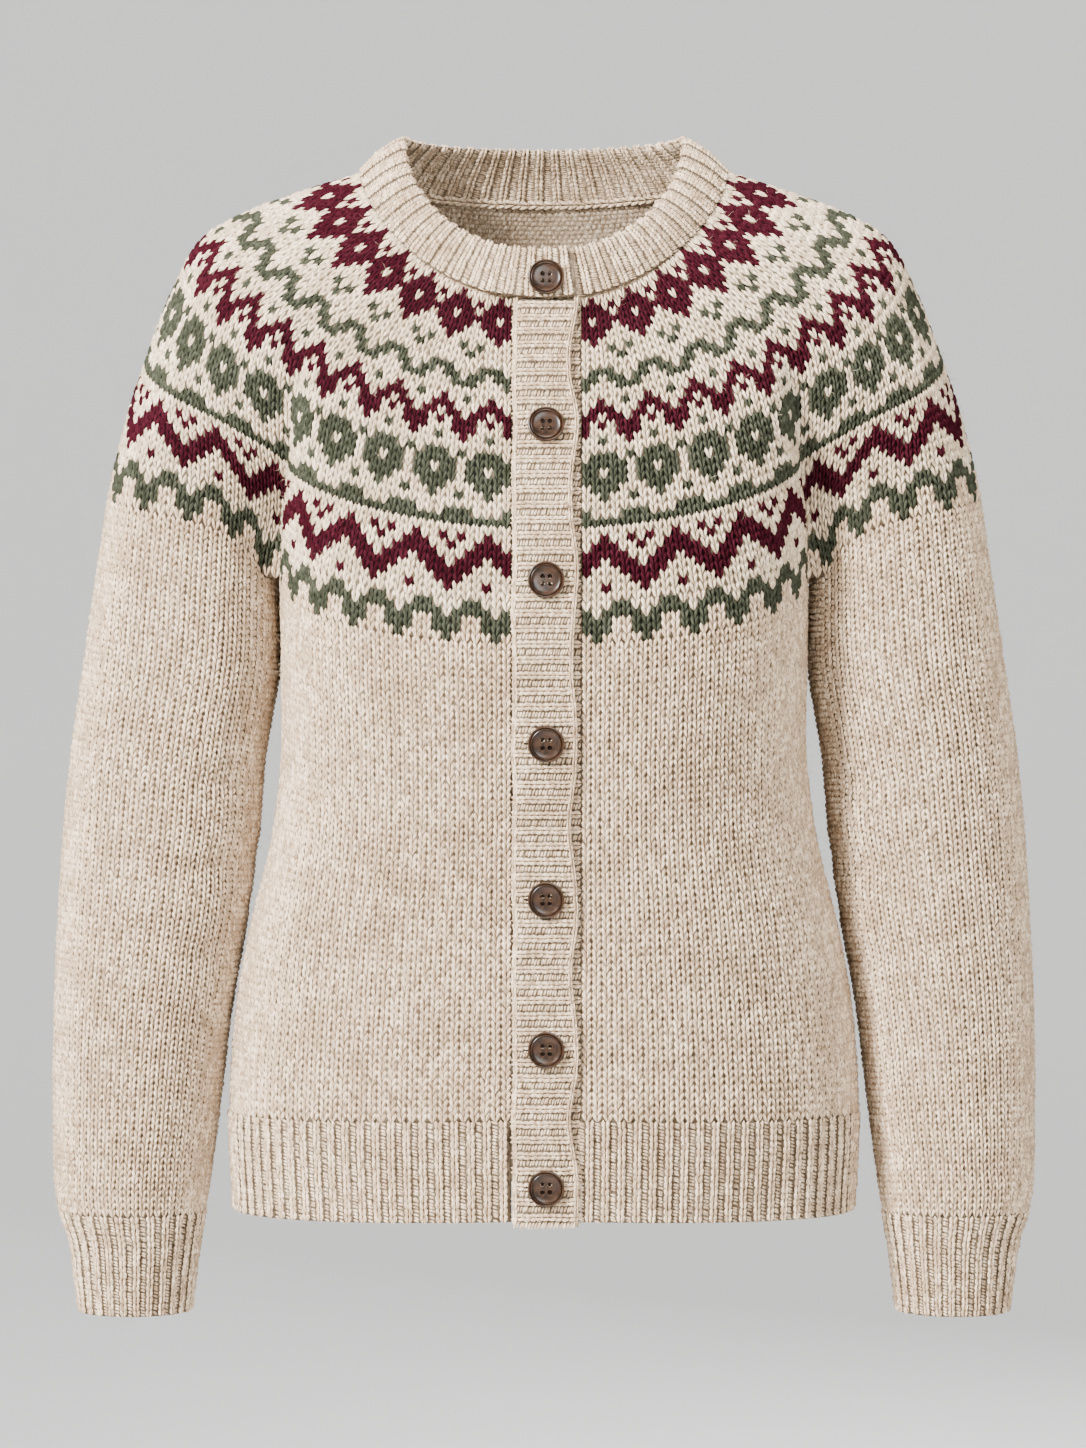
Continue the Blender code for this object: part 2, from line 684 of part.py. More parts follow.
def half_hem(edge_x, front_ribs, back_ribs):
    """Half the hem rib, with two columns of points to each rib."""
    front = np.linspace(share_at_x(body_curve(HEM_TOP), edge_x), SIDE_SEAM, 2 * front_ribs + 1)
    back = np.linspace(SIDE_SEAM, 1, 2 * back_ribs + 1)
    shares = np.concatenate([front, back[1:]])
    rows = []
    for level in (HEM_TOP, HEM_END):
        rows.append([body_point(hem_drop(level, share), share) for share in shares])
    return np.array(rows)


def add_hem(where):
    length = curve_length(body_curve(HEM_TOP))
    front_ribs = round((SIDE_SEAM * length - RIGHT_EDGE) / HEM_RIB)
    back_ribs = round((1 - SIDE_SEAM) * length / HEM_RIB)
    right_half = half_hem(RIGHT_EDGE, front_ribs, back_ribs)
    base = both_sides(right_half, half_hem(LEFT_EDGE, front_ribs, back_ribs))
    outer, inner = ribbed(base, outward(base, level_rows=(0, -1)))
    pieces = {
        "hem_right": (0, 2 * front_ribs),
        "hem_back": (2 * front_ribs, 2 * front_ribs + 4 * back_ribs),
        "hem_left": (2 * front_ribs + 4 * back_ribs, base.shape[1] - 1),
    }
    for name, (first, last) in pieces.items():
        outer_part = outer[:, first : last + 1]
        inner_part = inner[:, first // 2 : last // 2 + 1]
        add_piece(name, outer_part, inner_part, OATMEAL, where, bottom=0)


def add_cuff(name, side, where):
    shares = np.arange(2 * CUFF_RIBS) / (2 * CUFF_RIBS)
    drops = (CUFF_TOP, CUFF_NARROW, CUFF_END)
    half = np.array([[sleeve_point(drop, share) for share in shares] for drop in drops])
    base = to_side(half, side)
    outer, inner = ribbed(base, outward(base, loop=True, level_rows=(0, -1)))
    add_piece(name, outer, inner, OATMEAL, where, loop=True, bottom=0)


# --- Neckband --------------------------------------------------------------------------------


def neck_rings():
    """The neck seam's half ring and the neckband's folded top, matched turn for turn."""
    seam = smooth_ring(0)
    side, ahead = np.sin(HALF_TURNS), np.cos(HALF_TURNS)
    near = np.abs(ahead)
    depth = np.where(ahead > 0, NECK_TOP_FRONT_Y, NECK_TOP_BACK_Y)
    height = np.where(ahead > 0, NECK_TOP_FRONT_Z, NECK_TOP_BACK_Z)
    x = NECK_TOP_SIDE_X * side
    y = depth * near + YOKE_SIDE_Y * side**2
    z = NECK_TOP_SIDE_Z + (height - NECK_TOP_SIDE_Z) * near**NECK_DROOP
    return seam, np.stack([x, y, z], -1)


def neck_place(signed_share):
    """Seam point and top point at a signed share: 0 at the centre front, 1 and -1 at the back."""
    wrapped = (signed_share + 1) % 2 - 1
    seam, top = neck_rings()
    known = shares_along(seam)
    mirror = np.array([np.sign(wrapped) or 1, 1, 1])
    return (
        at_shares(seam, known, abs(wrapped)) * mirror,
        at_shares(top, known, abs(wrapped)) * mirror,
    )


def neck_share_at(x):
    seam, _ = neck_rings()
    return math.copysign(share_at_x(seam, abs(x)), x)


def add_neckband(where):
    """A doubled band, from its upper end at the centre front clockwise round to its lower end."""
    start = neck_share_at(NECK_OVER_X)
    end = neck_share_at(NECK_UNDER_X) - 2
    _, top = neck_rings()
    ribs = round((start - end) * curve_length(top) / NECK_RIB)
    places = np.linspace(start, end, 2 * ribs + 1)
    pairs = np.array([neck_place(place) for place in places])
    seam_line, top_line = pairs[:, 0], pairs[:, 1]
    up = unit(top_line - seam_line)
    away = unit(np.cross(np.gradient(seam_line, axis=0), -up))
    lift_start = neck_share_at(NECK_LIFT_X)
    lift = NECK_LIFT * smooth_step((places - lift_start) / (neck_share_at(-OVER_BAND[1]) - lift_start))
    rib = np.where(np.arange(len(places)) % 2, BAND_RISE, 0)
    height = np.linalg.norm(top_line - seam_line, axis=1) - SEAM_GAP / 2
    stands = {1: rib, 0: 0, -1: BAND_RISE - rib}
    lines = []
    for corner in NECK_SECTION:
        out = NECK_PROUD + lift - corner.inward * NECK_WALL + stands[corner.rib]
        along = SEAM_GAP / 2 + height * corner.up
        lines.append(seam_line + up * along[:, None] + away * out[:, None])
    capped_strip("neckband", np.array(lines), OATMEAL, where)


# --- Bands and buttons -----------------------------------------------------------------------


def centre_line():
    """The centre front from the neck seam to the bands' end, as points 1 mm apart or so."""
    shares = np.linspace(0, 1, 81)
    upper = []
    for share in shares:
        ring = table_row(YOKE_RINGS, share)
        upper.append((0, ring.front_y * MM, ring.front_z * MM))
    drops = np.linspace(YOKE_FRONT_DROP, BAND_END, 121)[1:]
    lower = [(0, table_row(BODY_RINGS, drop / MM).front * MM, -drop) for drop in drops]
    return np.array(upper + lower)


def front_bulge(x, z):
    """How far the front falls back from its centre line at an x."""
    half = table_row(BODY_RINGS, max(-z, BULGE_TOP) / MM).half_width * MM
    return FRONT_BULGE * x * x / half


def band_base(shares, xs):
    """Points of the front under a band, and their outward vectors."""
    line = centre_line()
    centre = at_shares(line, shares_along(line), shares)
    grid = np.array([[(x, point[1] + front_bulge(x, point[2]), point[2]) for point in centre] for x in xs])
    return grid, -outward(np.swapaxes(grid, 0, 1)).swapaxes(0, 1)


def add_band(name, xs, lifts, start, where):
    """A band whose ribs run across it. The lifts give its height over the front at each x."""
    length = curve_length(centre_line())
    shares = np.linspace(start / length, 1, 2 * round(length / BAND_RIB) + 1)
    base, away = band_base(shares, xs)
    lift = np.array(lifts)[:, None, None]
    ribs = np.zeros(base.shape[:2] + (1,))
    ribs[:, 1::2] = BAND_RISE
    ribs[0], ribs[-1] = BAND_EDGE_RISE, BAND_EDGE_RISE
    outer = base + away * (lift + ribs)
    inner = (base + away * (lift - BAND_WALL))[:, ::2]
    wall(name, outer, inner, OATMEAL, where)


def add_bands(where):
    first, last = OVER_BAND
    xs = (first, first + BAND_LIFT_WIDTH, BUTTON_X, last)
    lifts = (BAND_EDGE_LIFT, BAND_LIFT, BAND_LIFT, BAND_LIFT)
    add_band("buttonhole_band", xs, lifts, OVER_START, where)
    first, last = UNDER_BAND
    add_band("button_band", (first, 0, last), (-BAND_RISE,) * 3, UNDER_START, where)


def button_mesh(where, cutters):
    """A turned button with a raised rim and a dished face, drilled four times. It faces +Z."""
    corners = [(c.radius * BUTTON_RADIUS, 0, c.height * BUTTON_THICK) for c in BUTTON_PROFILE]
    mesh = bpy.data.meshes.new("button_profile")
    mesh.from_pydata(corners, [(k, k + 1) for k in range(len(corners) - 1)], [])
    turned = bpy.data.objects.new("button_profile", mesh)
    where.objects.link(turned)
    screw = turned.modifiers.new("Turn", "SCREW")
    screw.steps = BUTTON_STEPS
    screw.render_steps = BUTTON_STEPS
    screw.use_merge_vertices = True
    screw.merge_threshold = 0.00001
    drill_mesh = bpy.data.meshes.new("button_drills")
    work = bmesh.new()
    for across in (-1, 1):
        for up in (-1, 1):
            place = Matrix.Translation((across * HOLE_OFFSET, up * HOLE_OFFSET, 0))
            bmesh.ops.create_cone(
                work,
                cap_ends=True,
                segments=HOLE_SIDES,
                radius1=HOLE_RADIUS,
                radius2=HOLE_RADIUS,
                depth=3 * BUTTON_THICK,
                matrix=place,
            )
    work.to_mesh(drill_mesh)
    work.free()
    drills = bpy.data.objects.new("button_drills", drill_mesh)
    drills.display_type = "WIRE"
    drills.hide_render = True
    cutters.objects.link(drills)
    cut = turned.modifiers.new("Drill", "BOOLEAN")
    cut.operation = "DIFFERENCE"
    cut.object = drills
    bpy.context.view_layer.update()
    graph = bpy.context.evaluated_depsgraph_get()
    made = bpy.data.meshes.new_from_object(turned.evaluated_get(graph))
    made.name = "button"
    bpy.data.objects.remove(turned)
    return made


def band_surface(drop):
    """The point of the buttonhole band's outside under a button, and its outward direction."""
    line = centre_line()
    share = float(np.interp(drop, -line[:, 2], shares_along(line)))
    beside = BUTTON_RADIUS / 2
    shares = np.array([-beside, 0, beside]) / curve_length(line) + share
    base, away = band_base(shares, (BUTTON_X - beside, BUTTON_X, BUTTON_X + beside))
    direction = unit(away[1, 1])
    return base[1, 1] + direction * (BAND_LIFT + BAND_RISE), direction


def neck_surface(drop):
    """The same on the neckband's upper end, for the top button."""
    seam, top = neck_place(neck_share_at(BUTTON_X))
    beside, _ = neck_place(neck_share_at(BUTTON_X + BUTTON_RADIUS / 2))
    direction = unit(np.cross(beside - seam, top - seam))
    up_share = (-drop - seam[2]) / (top[2] - seam[2])
    return seam + (top - seam) * up_share + direction * (NECK_PROUD + NECK_LIFT + BAND_RISE), direction


def add_buttons(where, cutters):
    mesh = button_mesh(where, cutters)
    for number, drop in enumerate(BUTTON_DROPS, 1):
        surface = neck_surface if number == 1 else band_surface
        point, direction = surface(drop * MM)
        button = add_object(f"button_{number}", mesh, HORN, where)
        turn = Vector(direction).to_track_quat("Z", "Y")
        place = Vector(point) + Vector(direction) * SEAM_GAP
        button.matrix_world = Matrix.Translation(place) @ turn.to_matrix().to_4x4()


# --- The whole -------------------------------------------------------------------------------


def clear_scene():
    for thing in list(bpy.data.objects):
        bpy.data.objects.remove(thing, do_unlink=True)


def main():
    clear_scene()
    parts = collection("fair_isle_cardigan")
    cutters = collection("cutters", hidden=True)
    edge = add_yoke(parts)
    add_body(edge, parts)
    add_sleeve("sleeve_right", RIGHT_SIDE, edge, parts)
    add_sleeve("sleeve_left", LEFT_SIDE, edge, parts)
    add_hem(parts)
    add_cuff("cuff_right", RIGHT_SIDE, parts)
    add_cuff("cuff_left", LEFT_SIDE, parts)
    add_neckband(parts)
    add_bands(parts)
    add_buttons(parts, cutters)


main()
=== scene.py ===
# %% [markdown]
# # A fair isle cardigan
#
# A hand-knitted cardigan: plain oatmeal body and sleeves, a round yoke in colourwork, ribbed
# hem, cuffs, neckband and front bands, and seven horn-like buttons. The solids of the packed
# model give each piece its place. This script knits the cloth over them stitch by stitch.
#
# Everything here is in metres, with +Z up. The wearer faces -Y, so the wearer's left is at +X.

# %% The frame
import json
import math
from collections import namedtuple

import bpy
import numpy as np
from mathutils import Matrix, Vector

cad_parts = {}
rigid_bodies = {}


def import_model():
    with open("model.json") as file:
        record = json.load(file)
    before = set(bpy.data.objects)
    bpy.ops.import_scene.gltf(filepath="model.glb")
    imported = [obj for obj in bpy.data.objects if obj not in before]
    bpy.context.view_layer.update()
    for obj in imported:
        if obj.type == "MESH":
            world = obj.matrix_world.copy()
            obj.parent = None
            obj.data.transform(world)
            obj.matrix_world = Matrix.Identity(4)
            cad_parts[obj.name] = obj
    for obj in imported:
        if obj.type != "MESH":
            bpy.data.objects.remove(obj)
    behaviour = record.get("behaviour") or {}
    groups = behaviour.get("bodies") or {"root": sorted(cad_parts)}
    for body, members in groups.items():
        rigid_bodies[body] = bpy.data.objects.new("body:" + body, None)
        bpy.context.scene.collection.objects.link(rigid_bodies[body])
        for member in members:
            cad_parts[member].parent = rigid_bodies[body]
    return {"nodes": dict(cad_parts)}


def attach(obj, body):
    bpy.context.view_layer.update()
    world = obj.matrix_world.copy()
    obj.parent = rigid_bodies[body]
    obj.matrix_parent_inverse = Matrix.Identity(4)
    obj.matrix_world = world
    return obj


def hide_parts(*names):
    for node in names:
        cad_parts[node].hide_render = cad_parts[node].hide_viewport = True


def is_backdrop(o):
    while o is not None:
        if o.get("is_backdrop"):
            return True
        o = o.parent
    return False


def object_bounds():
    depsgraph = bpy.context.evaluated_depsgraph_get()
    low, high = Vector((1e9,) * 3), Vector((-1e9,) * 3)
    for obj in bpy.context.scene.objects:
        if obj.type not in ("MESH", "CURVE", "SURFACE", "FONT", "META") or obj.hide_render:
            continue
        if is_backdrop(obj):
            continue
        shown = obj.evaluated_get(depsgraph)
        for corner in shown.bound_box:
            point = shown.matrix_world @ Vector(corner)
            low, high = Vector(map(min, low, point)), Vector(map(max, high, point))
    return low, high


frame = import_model()
cad_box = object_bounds()
MM = 0.001
ROOT = "root"
chance = np.random.default_rng(12)
print("nodes in the frame:", sorted(frame["nodes"]))

# %% [markdown]
# ## The garment's sizes
#
# A cardigan's shape is given by the girths that its knitter works to. The tables hold a row
# for each ring of the body, of a sleeve and of the yoke, in millimetres, and the rings between
# them are read on a smooth curve. The solids were made from the same tables, so the stitches
# lie where the solids are. Reading points off the solids would give their facets instead.

# %% Sizes of the pieces
WALL = 2.4 * MM
RIB_WALL = 2.2 * MM
RIB_RISE = 1.2 * MM
BAND_RISE = 0.96 * MM

HEM_TOP = 535 * MM
HEM_END = 590 * MM
HEM_SAG = 3.5 * MM
BAND_END = 591.5 * MM
CUFF_TOP = 595.6 * MM
CUFF_END = 652 * MM

RIGHT_EDGE = 17.9 * MM
LEFT_EDGE = 20.5 * MM

UNDERARM_FRONT_Y = -22 * MM
UNDERARM_BACK_Y = 38 * MM
UNDERARM_DROP = 236 * MM
YOKE_FRONT_DROP = 276 * MM
YOKE_BACK_DROP = 228 * MM
YOKE_SLEEVE_DROP = 190 * MM
FRONT_EDGE_BEND = 2.2
SLEEVE_EDGE_ARCH = 0.57
SLEEVE_EDGE_BEND = 1.2
SLEEVE_EDGE_CORNER = 8


def table(fields, *rows):
    """Rows of values whose places have names."""
    row = namedtuple("row", fields)
    return [row(*values) for values in rows]


YOKE_RINGS = table(
    "share side_x side_z front_y front_z back_y back_z bend",
    (0.00, 105.5, -3.0, -72.0, -84.0, 74.0, -12.0, 2.00),
    (0.13, 138.6, -13.6, -83.6, -107.2, 88.9, -36.7, 1.98),
    (0.26, 171.2, -25.6, -93.5, -131.3, 98.0, -64.2, 1.96),
    (0.38, 196.6, -41.0, -100.9, -154.0, 103.1, -90.4, 1.92),
    (0.50, 211.8, -67.3, -107.2, -177.0, 106.3, -116.8, 1.86),
    (0.62, 223.7, -95.8, -111.6, -200.6, 107.9, -143.5, 1.78),
    (0.75, 234.1, -127.7, -115.6, -226.2, 107.2, -172.5, 1.68),
    (0.88, 242.5, -160.0, -117.6, -252.0, 105.8, -201.5, 1.58),
    (1.00, 249.3, -190.0, -117.6, -276.0, 104.6, -228.0, 1.50),
)
YOKE_SIDE_Y = 6 * MM
YOKE_RING_DROOP = 1.3
CREASE_START = 0.36
CREASE_BEND = 1.15

BODY_RINGS = table(
    "drop half_width front back bend",
    (225, 149.6, -117.2, 104.8, 2.60),
    (285, 149.0, -117.6, 101.5, 2.55),
    (340, 149.0, -113.5, 97.5, 2.50),
    (385, 155.0, -109.0, 96.5, 2.40),
    (435, 167.4, -106.5, 99.5, 2.35),
    (476, 174.8, -105.8, 103.0, 2.30),
    (535, 178.8, -106.5, 106.0, 2.30),
    (592, 176.4, -104.5, 104.0, 2.30),
)

SLEEVE_RINGS = table(
    "drop inner outer front back bend",
    (180, 151.8, 248.0, -45.0, 62.0, 2.20),
    (236, 151.2, 256.0, -46.5, 61.0, 2.20),
    (286, 150.6, 263.0, -46.5, 59.0, 2.20),
    (330, 157.5, 269.3, -46.0, 57.0, 2.15),
    (385, 162.4, 274.7, -45.5, 55.0, 2.10),
    (430, 168.8, 277.3, -46.0, 52.0, 2.10),
    (480, 177.6, 279.2, -46.0, 48.5, 2.10),
    (540, 185.0, 279.4, -44.5, 43.0, 2.10),
    (592, 192.0, 276.6, -41.5, 38.0, 2.10),
    (613, 195.8, 269.6, -38.5, 34.0, 2.10),
    (636, 198.8, 266.6, -36.5, 31.5, 2.10),
    (653, 200.6, 264.6, -35.0, 30.0, 2.10),
)
print("rings:", len(YOKE_RINGS), "yoke,", len(BODY_RINGS), "body,", len(SLEEVE_RINGS), "sleeve")

# %% [markdown]
# ## Creases
#
# Knitting that hangs with no wearer keeps soft creases where the arm bends, above the cuffs
# and by the underarms. They could be simulated, but then their places couldn't be chosen.
# So each is a row of a table: where its middle is, how far it reaches and how deep it is, in
# millimetres. On a sleeve the place is a share of the way round: 0 is the inner side, 0.25
# the front, 0.5 the outer side and 0.75 the back. A body crease leans by an angle in degrees.

# %% Creases of the sleeves and the body
SLEEVE_CREASES = table(
    "drop place round_reach up_reach depth slope",
    (352, 0.14, 0.16, 9, 2.4, 60),
    (398, 0.12, 0.17, 10, 2.8, 40),
    (446, 0.16, 0.15, 9, 2.0, -50),
    (372, 0.84, 0.15, 10, 2.4, -60),
    (424, 0.86, 0.14, 9, 2.2, -40),
    (566, 0.30, 0.22, 8, 1.6, 30),
    (574, 0.70, 0.20, 8, 1.5, -20),
)
BODY_CREASE = "x drop lean long wide depth"
FRONT_CREASES = table(
    BODY_CREASE,
    (-128, 300, 38, 34, 11, 1.8),
    (-104, 352, 24, 40, 14, 1.5),
    (-116, 448, -14, 46, 15, 1.4),
    (-70, 505, -6, 52, 12, 1.5),
    (122, 305, -42, 32, 11, 1.8),
    (98, 368, -20, 42, 15, 1.6),
    (112, 462, 12, 44, 14, 1.5),
    (74, 512, 8, 48, 12, 1.6),
)
BACK_CREASES = table(
    BODY_CREASE,
    (-96, 318, 30, 40, 13, 1.8),
    (-52, 492, -8, 60, 13, 1.6),
    (88, 336, -26, 42, 14, 1.7),
    (64, 470, 10, 56, 15, 1.5),
    (8, 400, 3, 70, 16, 1.2),
)
ROUND_FADE = 2  # how much faster a sleeve's crease fades round it than down it


def press_creases(points):
    """Presses the body's soft creases into points of its front and back, towards the middle."""
    front = points[..., 1] < 0
    x, drop = points[..., 0] / MM, -points[..., 2] / MM
    depth = np.zeros_like(x)
    for creases, here in ((FRONT_CREASES, front), (BACK_CREASES, ~front)):
        for crease in creases:
            turn = math.radians(crease.lean)
            across, down = x - crease.x, drop - crease.drop
            along = across * math.cos(turn) + down * math.sin(turn)
            beside = down * math.cos(turn) - across * math.sin(turn)
            shape = np.exp(-((along / crease.long) ** 2) - (beside / crease.wide) ** 2)
            depth += here * crease.depth * MM * shape
    points[..., 1] += np.where(front, depth, -depth)
    return points


def crease_depth(drop, place):
    """How far its creases press a sleeve inwards, at drops and places of one shape."""
    depth = 0
    for crease in SLEEVE_CREASES:
        off = (place - crease.place + 0.5) % 1 - 0.5
        up = (drop / MM - crease.drop - crease.slope * off) / crease.up_reach
        shape = np.exp(-(up**2)) * np.exp(-((off / crease.round_reach) ** 2) * ROUND_FADE)
        depth = depth + crease.depth * MM * shape
    return depth


# %% [markdown]
# ## Reading the rings
#
# Each surface is sampled once on a fine lattice of points, and every stitch then takes its
# place from the lattice with one bilinear reading. NumPy does this for all stitches at once.
# A loop over forty thousand stitches in plain Python would take minutes.

# %% Smooth curves through a table
def table_rows(table, at):
    """Rows of a table for an array of values of its first column, on a smooth curve."""
    rows = np.array(table, float)
    key = rows[:, 0]
    slopes = np.gradient(rows, key, axis=0)
    first = np.clip(np.searchsorted(key, at) - 1, 0, len(key) - 2)
    span = (key[first + 1] - key[first])[:, None]
    t = (at - key[first])[:, None] / span
    ends = rows[first] * (2 * t**3 - 3 * t**2 + 1) + rows[first + 1] * (3 * t**2 - 2 * t**3)
    lean = slopes[first] * (t**3 - 2 * t**2 + t) + slopes[first + 1] * (t**3 - t**2)
    return type(table[0])(*(ends + span * lean).T)


def row_at(rows, at):
    """One row of a table on its smooth curve."""
    return type(rows[0])(*(column[0] for column in table_rows(rows, np.array([at]))))


def smooth_step(t):
    t = np.clip(t, 0, 1)
    return t * t * (3 - 2 * t)


def signed_power(value, power):
    return np.sign(value) * np.abs(value) ** power


def between(first, last, share):
    return first + (last - first) * share


def unit(vectors):
    return vectors / np.maximum(np.linalg.norm(vectors, axis=-1, keepdims=True), 1e-12)


def steps_along(points):
    return np.linalg.norm(np.diff(points, axis=0), axis=1)


def lengths_along(points):
    return np.concatenate([[0], np.cumsum(steps_along(points))])


def shares_along(points):
    """For each point of a curve, how far along it lies, from 0 to 1."""
    lengths = lengths_along(points)
    return lengths / lengths[-1]


def at_shares(points, known, wanted):
    return np.stack([np.interp(wanted, known, points[:, axis]) for axis in range(3)], -1)


def evenly(curve, count):
    """A curve's points at even steps along it."""
    return at_shares(curve, shares_along(curve), np.linspace(0, 1, count))


def curve_length(points):
    return float(steps_along(points).sum())


# %% Lattices of the body and the sleeves
HALF_TURNS = np.linspace(0, math.pi, 241)
FULL_TURNS = np.linspace(-math.pi / 2, 1.5 * math.pi, 481)
FRONT_HALF = slice(0, len(HALF_TURNS) // 2)
QUARTER = len(FULL_TURNS) // 4
BODY_DROPS = np.linspace(220, 597, 126) * MM
BODY_STEPS = 201
SLEEVE_DROPS = np.linspace(180, 656, 239) * MM
SLEEVE_STEPS = 241


def look_up(grid, down, along):
    """Points of a grid at places from 0 to 1 down its rows and along its columns."""
    rows, columns = grid.shape[:2]
    row = np.clip(down, 0, 1) * (rows - 1)
    column = np.clip(along, 0, 1) * (columns - 1)
    first_row = np.minimum(row.astype(int), rows - 2)
    first_column = np.minimum(column.astype(int), columns - 2)
    r, c = (row - first_row)[..., None], (column - first_column)[..., None]
    upper = grid[first_row, first_column] * (1 - c) + grid[first_row, first_column + 1] * c
    lower = grid[first_row + 1, first_column] * (1 - c) + grid[first_row + 1, first_column + 1] * c
    return upper * (1 - r) + lower * r


def oval(ring, middle_x, half_width, turns, drop):
    """A ring's points. The larger its bend, the squarer the oval is."""
    front, back = ring.front * MM, ring.back * MM
    middle_y, half_depth = (front + back) / 2, (back - front) / 2
    x = middle_x + half_width * signed_power(np.sin(turns), 2 / ring.bend)
    y = middle_y - half_depth * signed_power(np.cos(turns), 2 / ring.bend)
    return np.stack([x, y, np.full_like(x, -drop)], -1)


def body_curve(drop):
    """Half of the body's ring, from the centre front round the side to the centre back."""
    ring = row_at(BODY_RINGS, drop / MM)
    return oval(ring, 0, ring.half_width * MM, HALF_TURNS, drop)


def sleeve_curve(drop):
    """The +X sleeve's ring, from its inner side round the front, the outside and the back."""
    ring = row_at(SLEEVE_RINGS, drop / MM)
    inner, outer = ring.inner * MM, ring.outer * MM
    return oval(ring, (inner + outer) / 2, (outer - inner) / 2, FULL_TURNS, drop)


def creased_sleeve():
    grid = np.array([evenly(sleeve_curve(drop), SLEEVE_STEPS) for drop in SLEEVE_DROPS])
    middle = grid[:, :-1].mean(1, keepdims=True)
    depth = crease_depth(SLEEVE_DROPS[:, None], np.linspace(0, 1, SLEEVE_STEPS))
    return grid + unit(middle - grid) * depth[..., None]


BODY = np.array([evenly(body_curve(drop), BODY_STEPS) for drop in BODY_DROPS])
SLEEVE = creased_sleeve()


def on_rings(grid, drops, drop, share):
    drop, share = np.broadcast_arrays(drop, share)
    return look_up(grid, (drop - drops[0]) / (drops[-1] - drops[0]), share)


def body_points(drop, share):
    return on_rings(BODY, BODY_DROPS, drop, share)


def sleeve_points(drop, share):
    return on_rings(SLEEVE, SLEEVE_DROPS, drop, share % 1)


print("body lattice", BODY.shape[:2], "sleeve lattice", SLEEVE.shape[:2])

# %% [markdown]
# ## Where the yoke ends
#
# The yoke is knitted in the round over fronts, sleeves and back together. Its lower edge hangs
# lowest at the centre front, climbs to the underarms and arches over the sleeves.

# %% The yoke's lower edge
def share_at(curve, axis, value, part):
    """How far along a curve, from 0 to 1, a part of it passes a coordinate."""
    places, shares = curve[part, axis], shares_along(curve)[part]
    order = np.argsort(places)
    return float(np.interp(value, places[order], shares[order]))


def share_at_x(curve, x):
    return share_at(curve, 0, x, FRONT_HALF)


underarm_body = body_curve(UNDERARM_DROP)
underarm_sleeve = sleeve_curve(UNDERARM_DROP)
BODY_FRONT_END = share_at(underarm_body, 1, UNDERARM_FRONT_Y, slice(None))
BODY_BACK_END = share_at(underarm_body, 1, UNDERARM_BACK_Y, slice(None))
SLEEVE_FRONT_END = share_at(underarm_sleeve, 1, UNDERARM_FRONT_Y, slice(0, QUARTER))
SLEEVE_BACK_END = share_at(underarm_sleeve, 1, UNDERARM_BACK_Y, slice(3 * QUARTER, None))
SIDE_SEAM = (BODY_FRONT_END + BODY_BACK_END) / 2


def body_top(share):
    """Drops of the yoke's lower edge on the body."""
    front_fall = YOKE_FRONT_DROP - UNDERARM_DROP
    front = YOKE_FRONT_DROP - front_fall * (share / BODY_FRONT_END) ** FRONT_EDGE_BEND
    inwards = (share - BODY_BACK_END) / (1 - BODY_BACK_END)
    back = between(UNDERARM_DROP, YOKE_BACK_DROP, smooth_step(inwards))
    under = np.where(share >= BODY_BACK_END, back, UNDERARM_DROP)
    return np.where(share <= BODY_FRONT_END, front, under)


def sleeve_top(share):
    """Drops of the yoke's lower edge on the sleeve."""
    across = (share - SLEEVE_FRONT_END) / (SLEEVE_BACK_END - SLEEVE_FRONT_END)
    inwards = np.minimum(np.abs(2 * across - 1), 1)
    arch = SLEEVE_EDGE_ARCH * inwards**SLEEVE_EDGE_BEND
    corner = (1 - SLEEVE_EDGE_ARCH) * inwards**SLEEVE_EDGE_CORNER
    return between(YOKE_SLEEVE_DROP, UNDERARM_DROP, arch + corner)


def hem_drop(level, share):
    return level + HEM_SAG * np.sin(np.pi * share)


# %% The yoke's lattice
# Shares of the half ring that the front and the sleeve take up, at the neck and at the edge.
FRONT_PART, SLEEVE_PART = 0.30, 0.41
FRONT_HULL, SLEEVE_HULL = 0.272, 0.452
FOLD_BOTTOM = 0.005  # share of the half ring between front and sleeve, and sleeve and back
FOLD_TOP = 0.18  # shares of the yoke's depth over which the armhole folds grow and fade again
FOLD_GROWTH = 0.4
FOLD_FADE = 0.8
FOLD_FADE_LENGTH = 0.2
FOLD_DEPTH = 9 * MM
FOLD_REACH = 12 * MM
FOLD_MIDDLE = (0.075, 0.005, 0.0)
YOKE_FRONT_STEPS = 60
YOKE_SLEEVE_STEPS = 110
YOKE_BACK_STEPS = 70
YOKE_LATTICE_ROWS = 177
YOKE_LATTICE_COLUMNS = 1001
RIGHT_SIDE = -1
LEFT_SIDE = 1


def ring_curve(ring, droop):
    """Half of a ring with no armhole fold, from the centre front to the centre back."""
    side, ahead = np.sin(HALF_TURNS), np.cos(HALF_TURNS)
    depth = np.where(ahead > 0, ring.front_y, ring.back_y)
    height = np.where(ahead > 0, ring.front_z, ring.back_z)
    near = np.abs(ahead)
    x = ring.side_x * side ** (2 / ring.bend)
    y = depth * near ** (2 / ring.bend) + YOKE_SIDE_Y / MM * side**2
    z = ring.side_z + (height - ring.side_z) * near**droop
    return np.stack([x, y, z], -1) * MM


def smooth_ring(share):
    return ring_curve(row_at(YOKE_RINGS, share), YOKE_RING_DROOP)


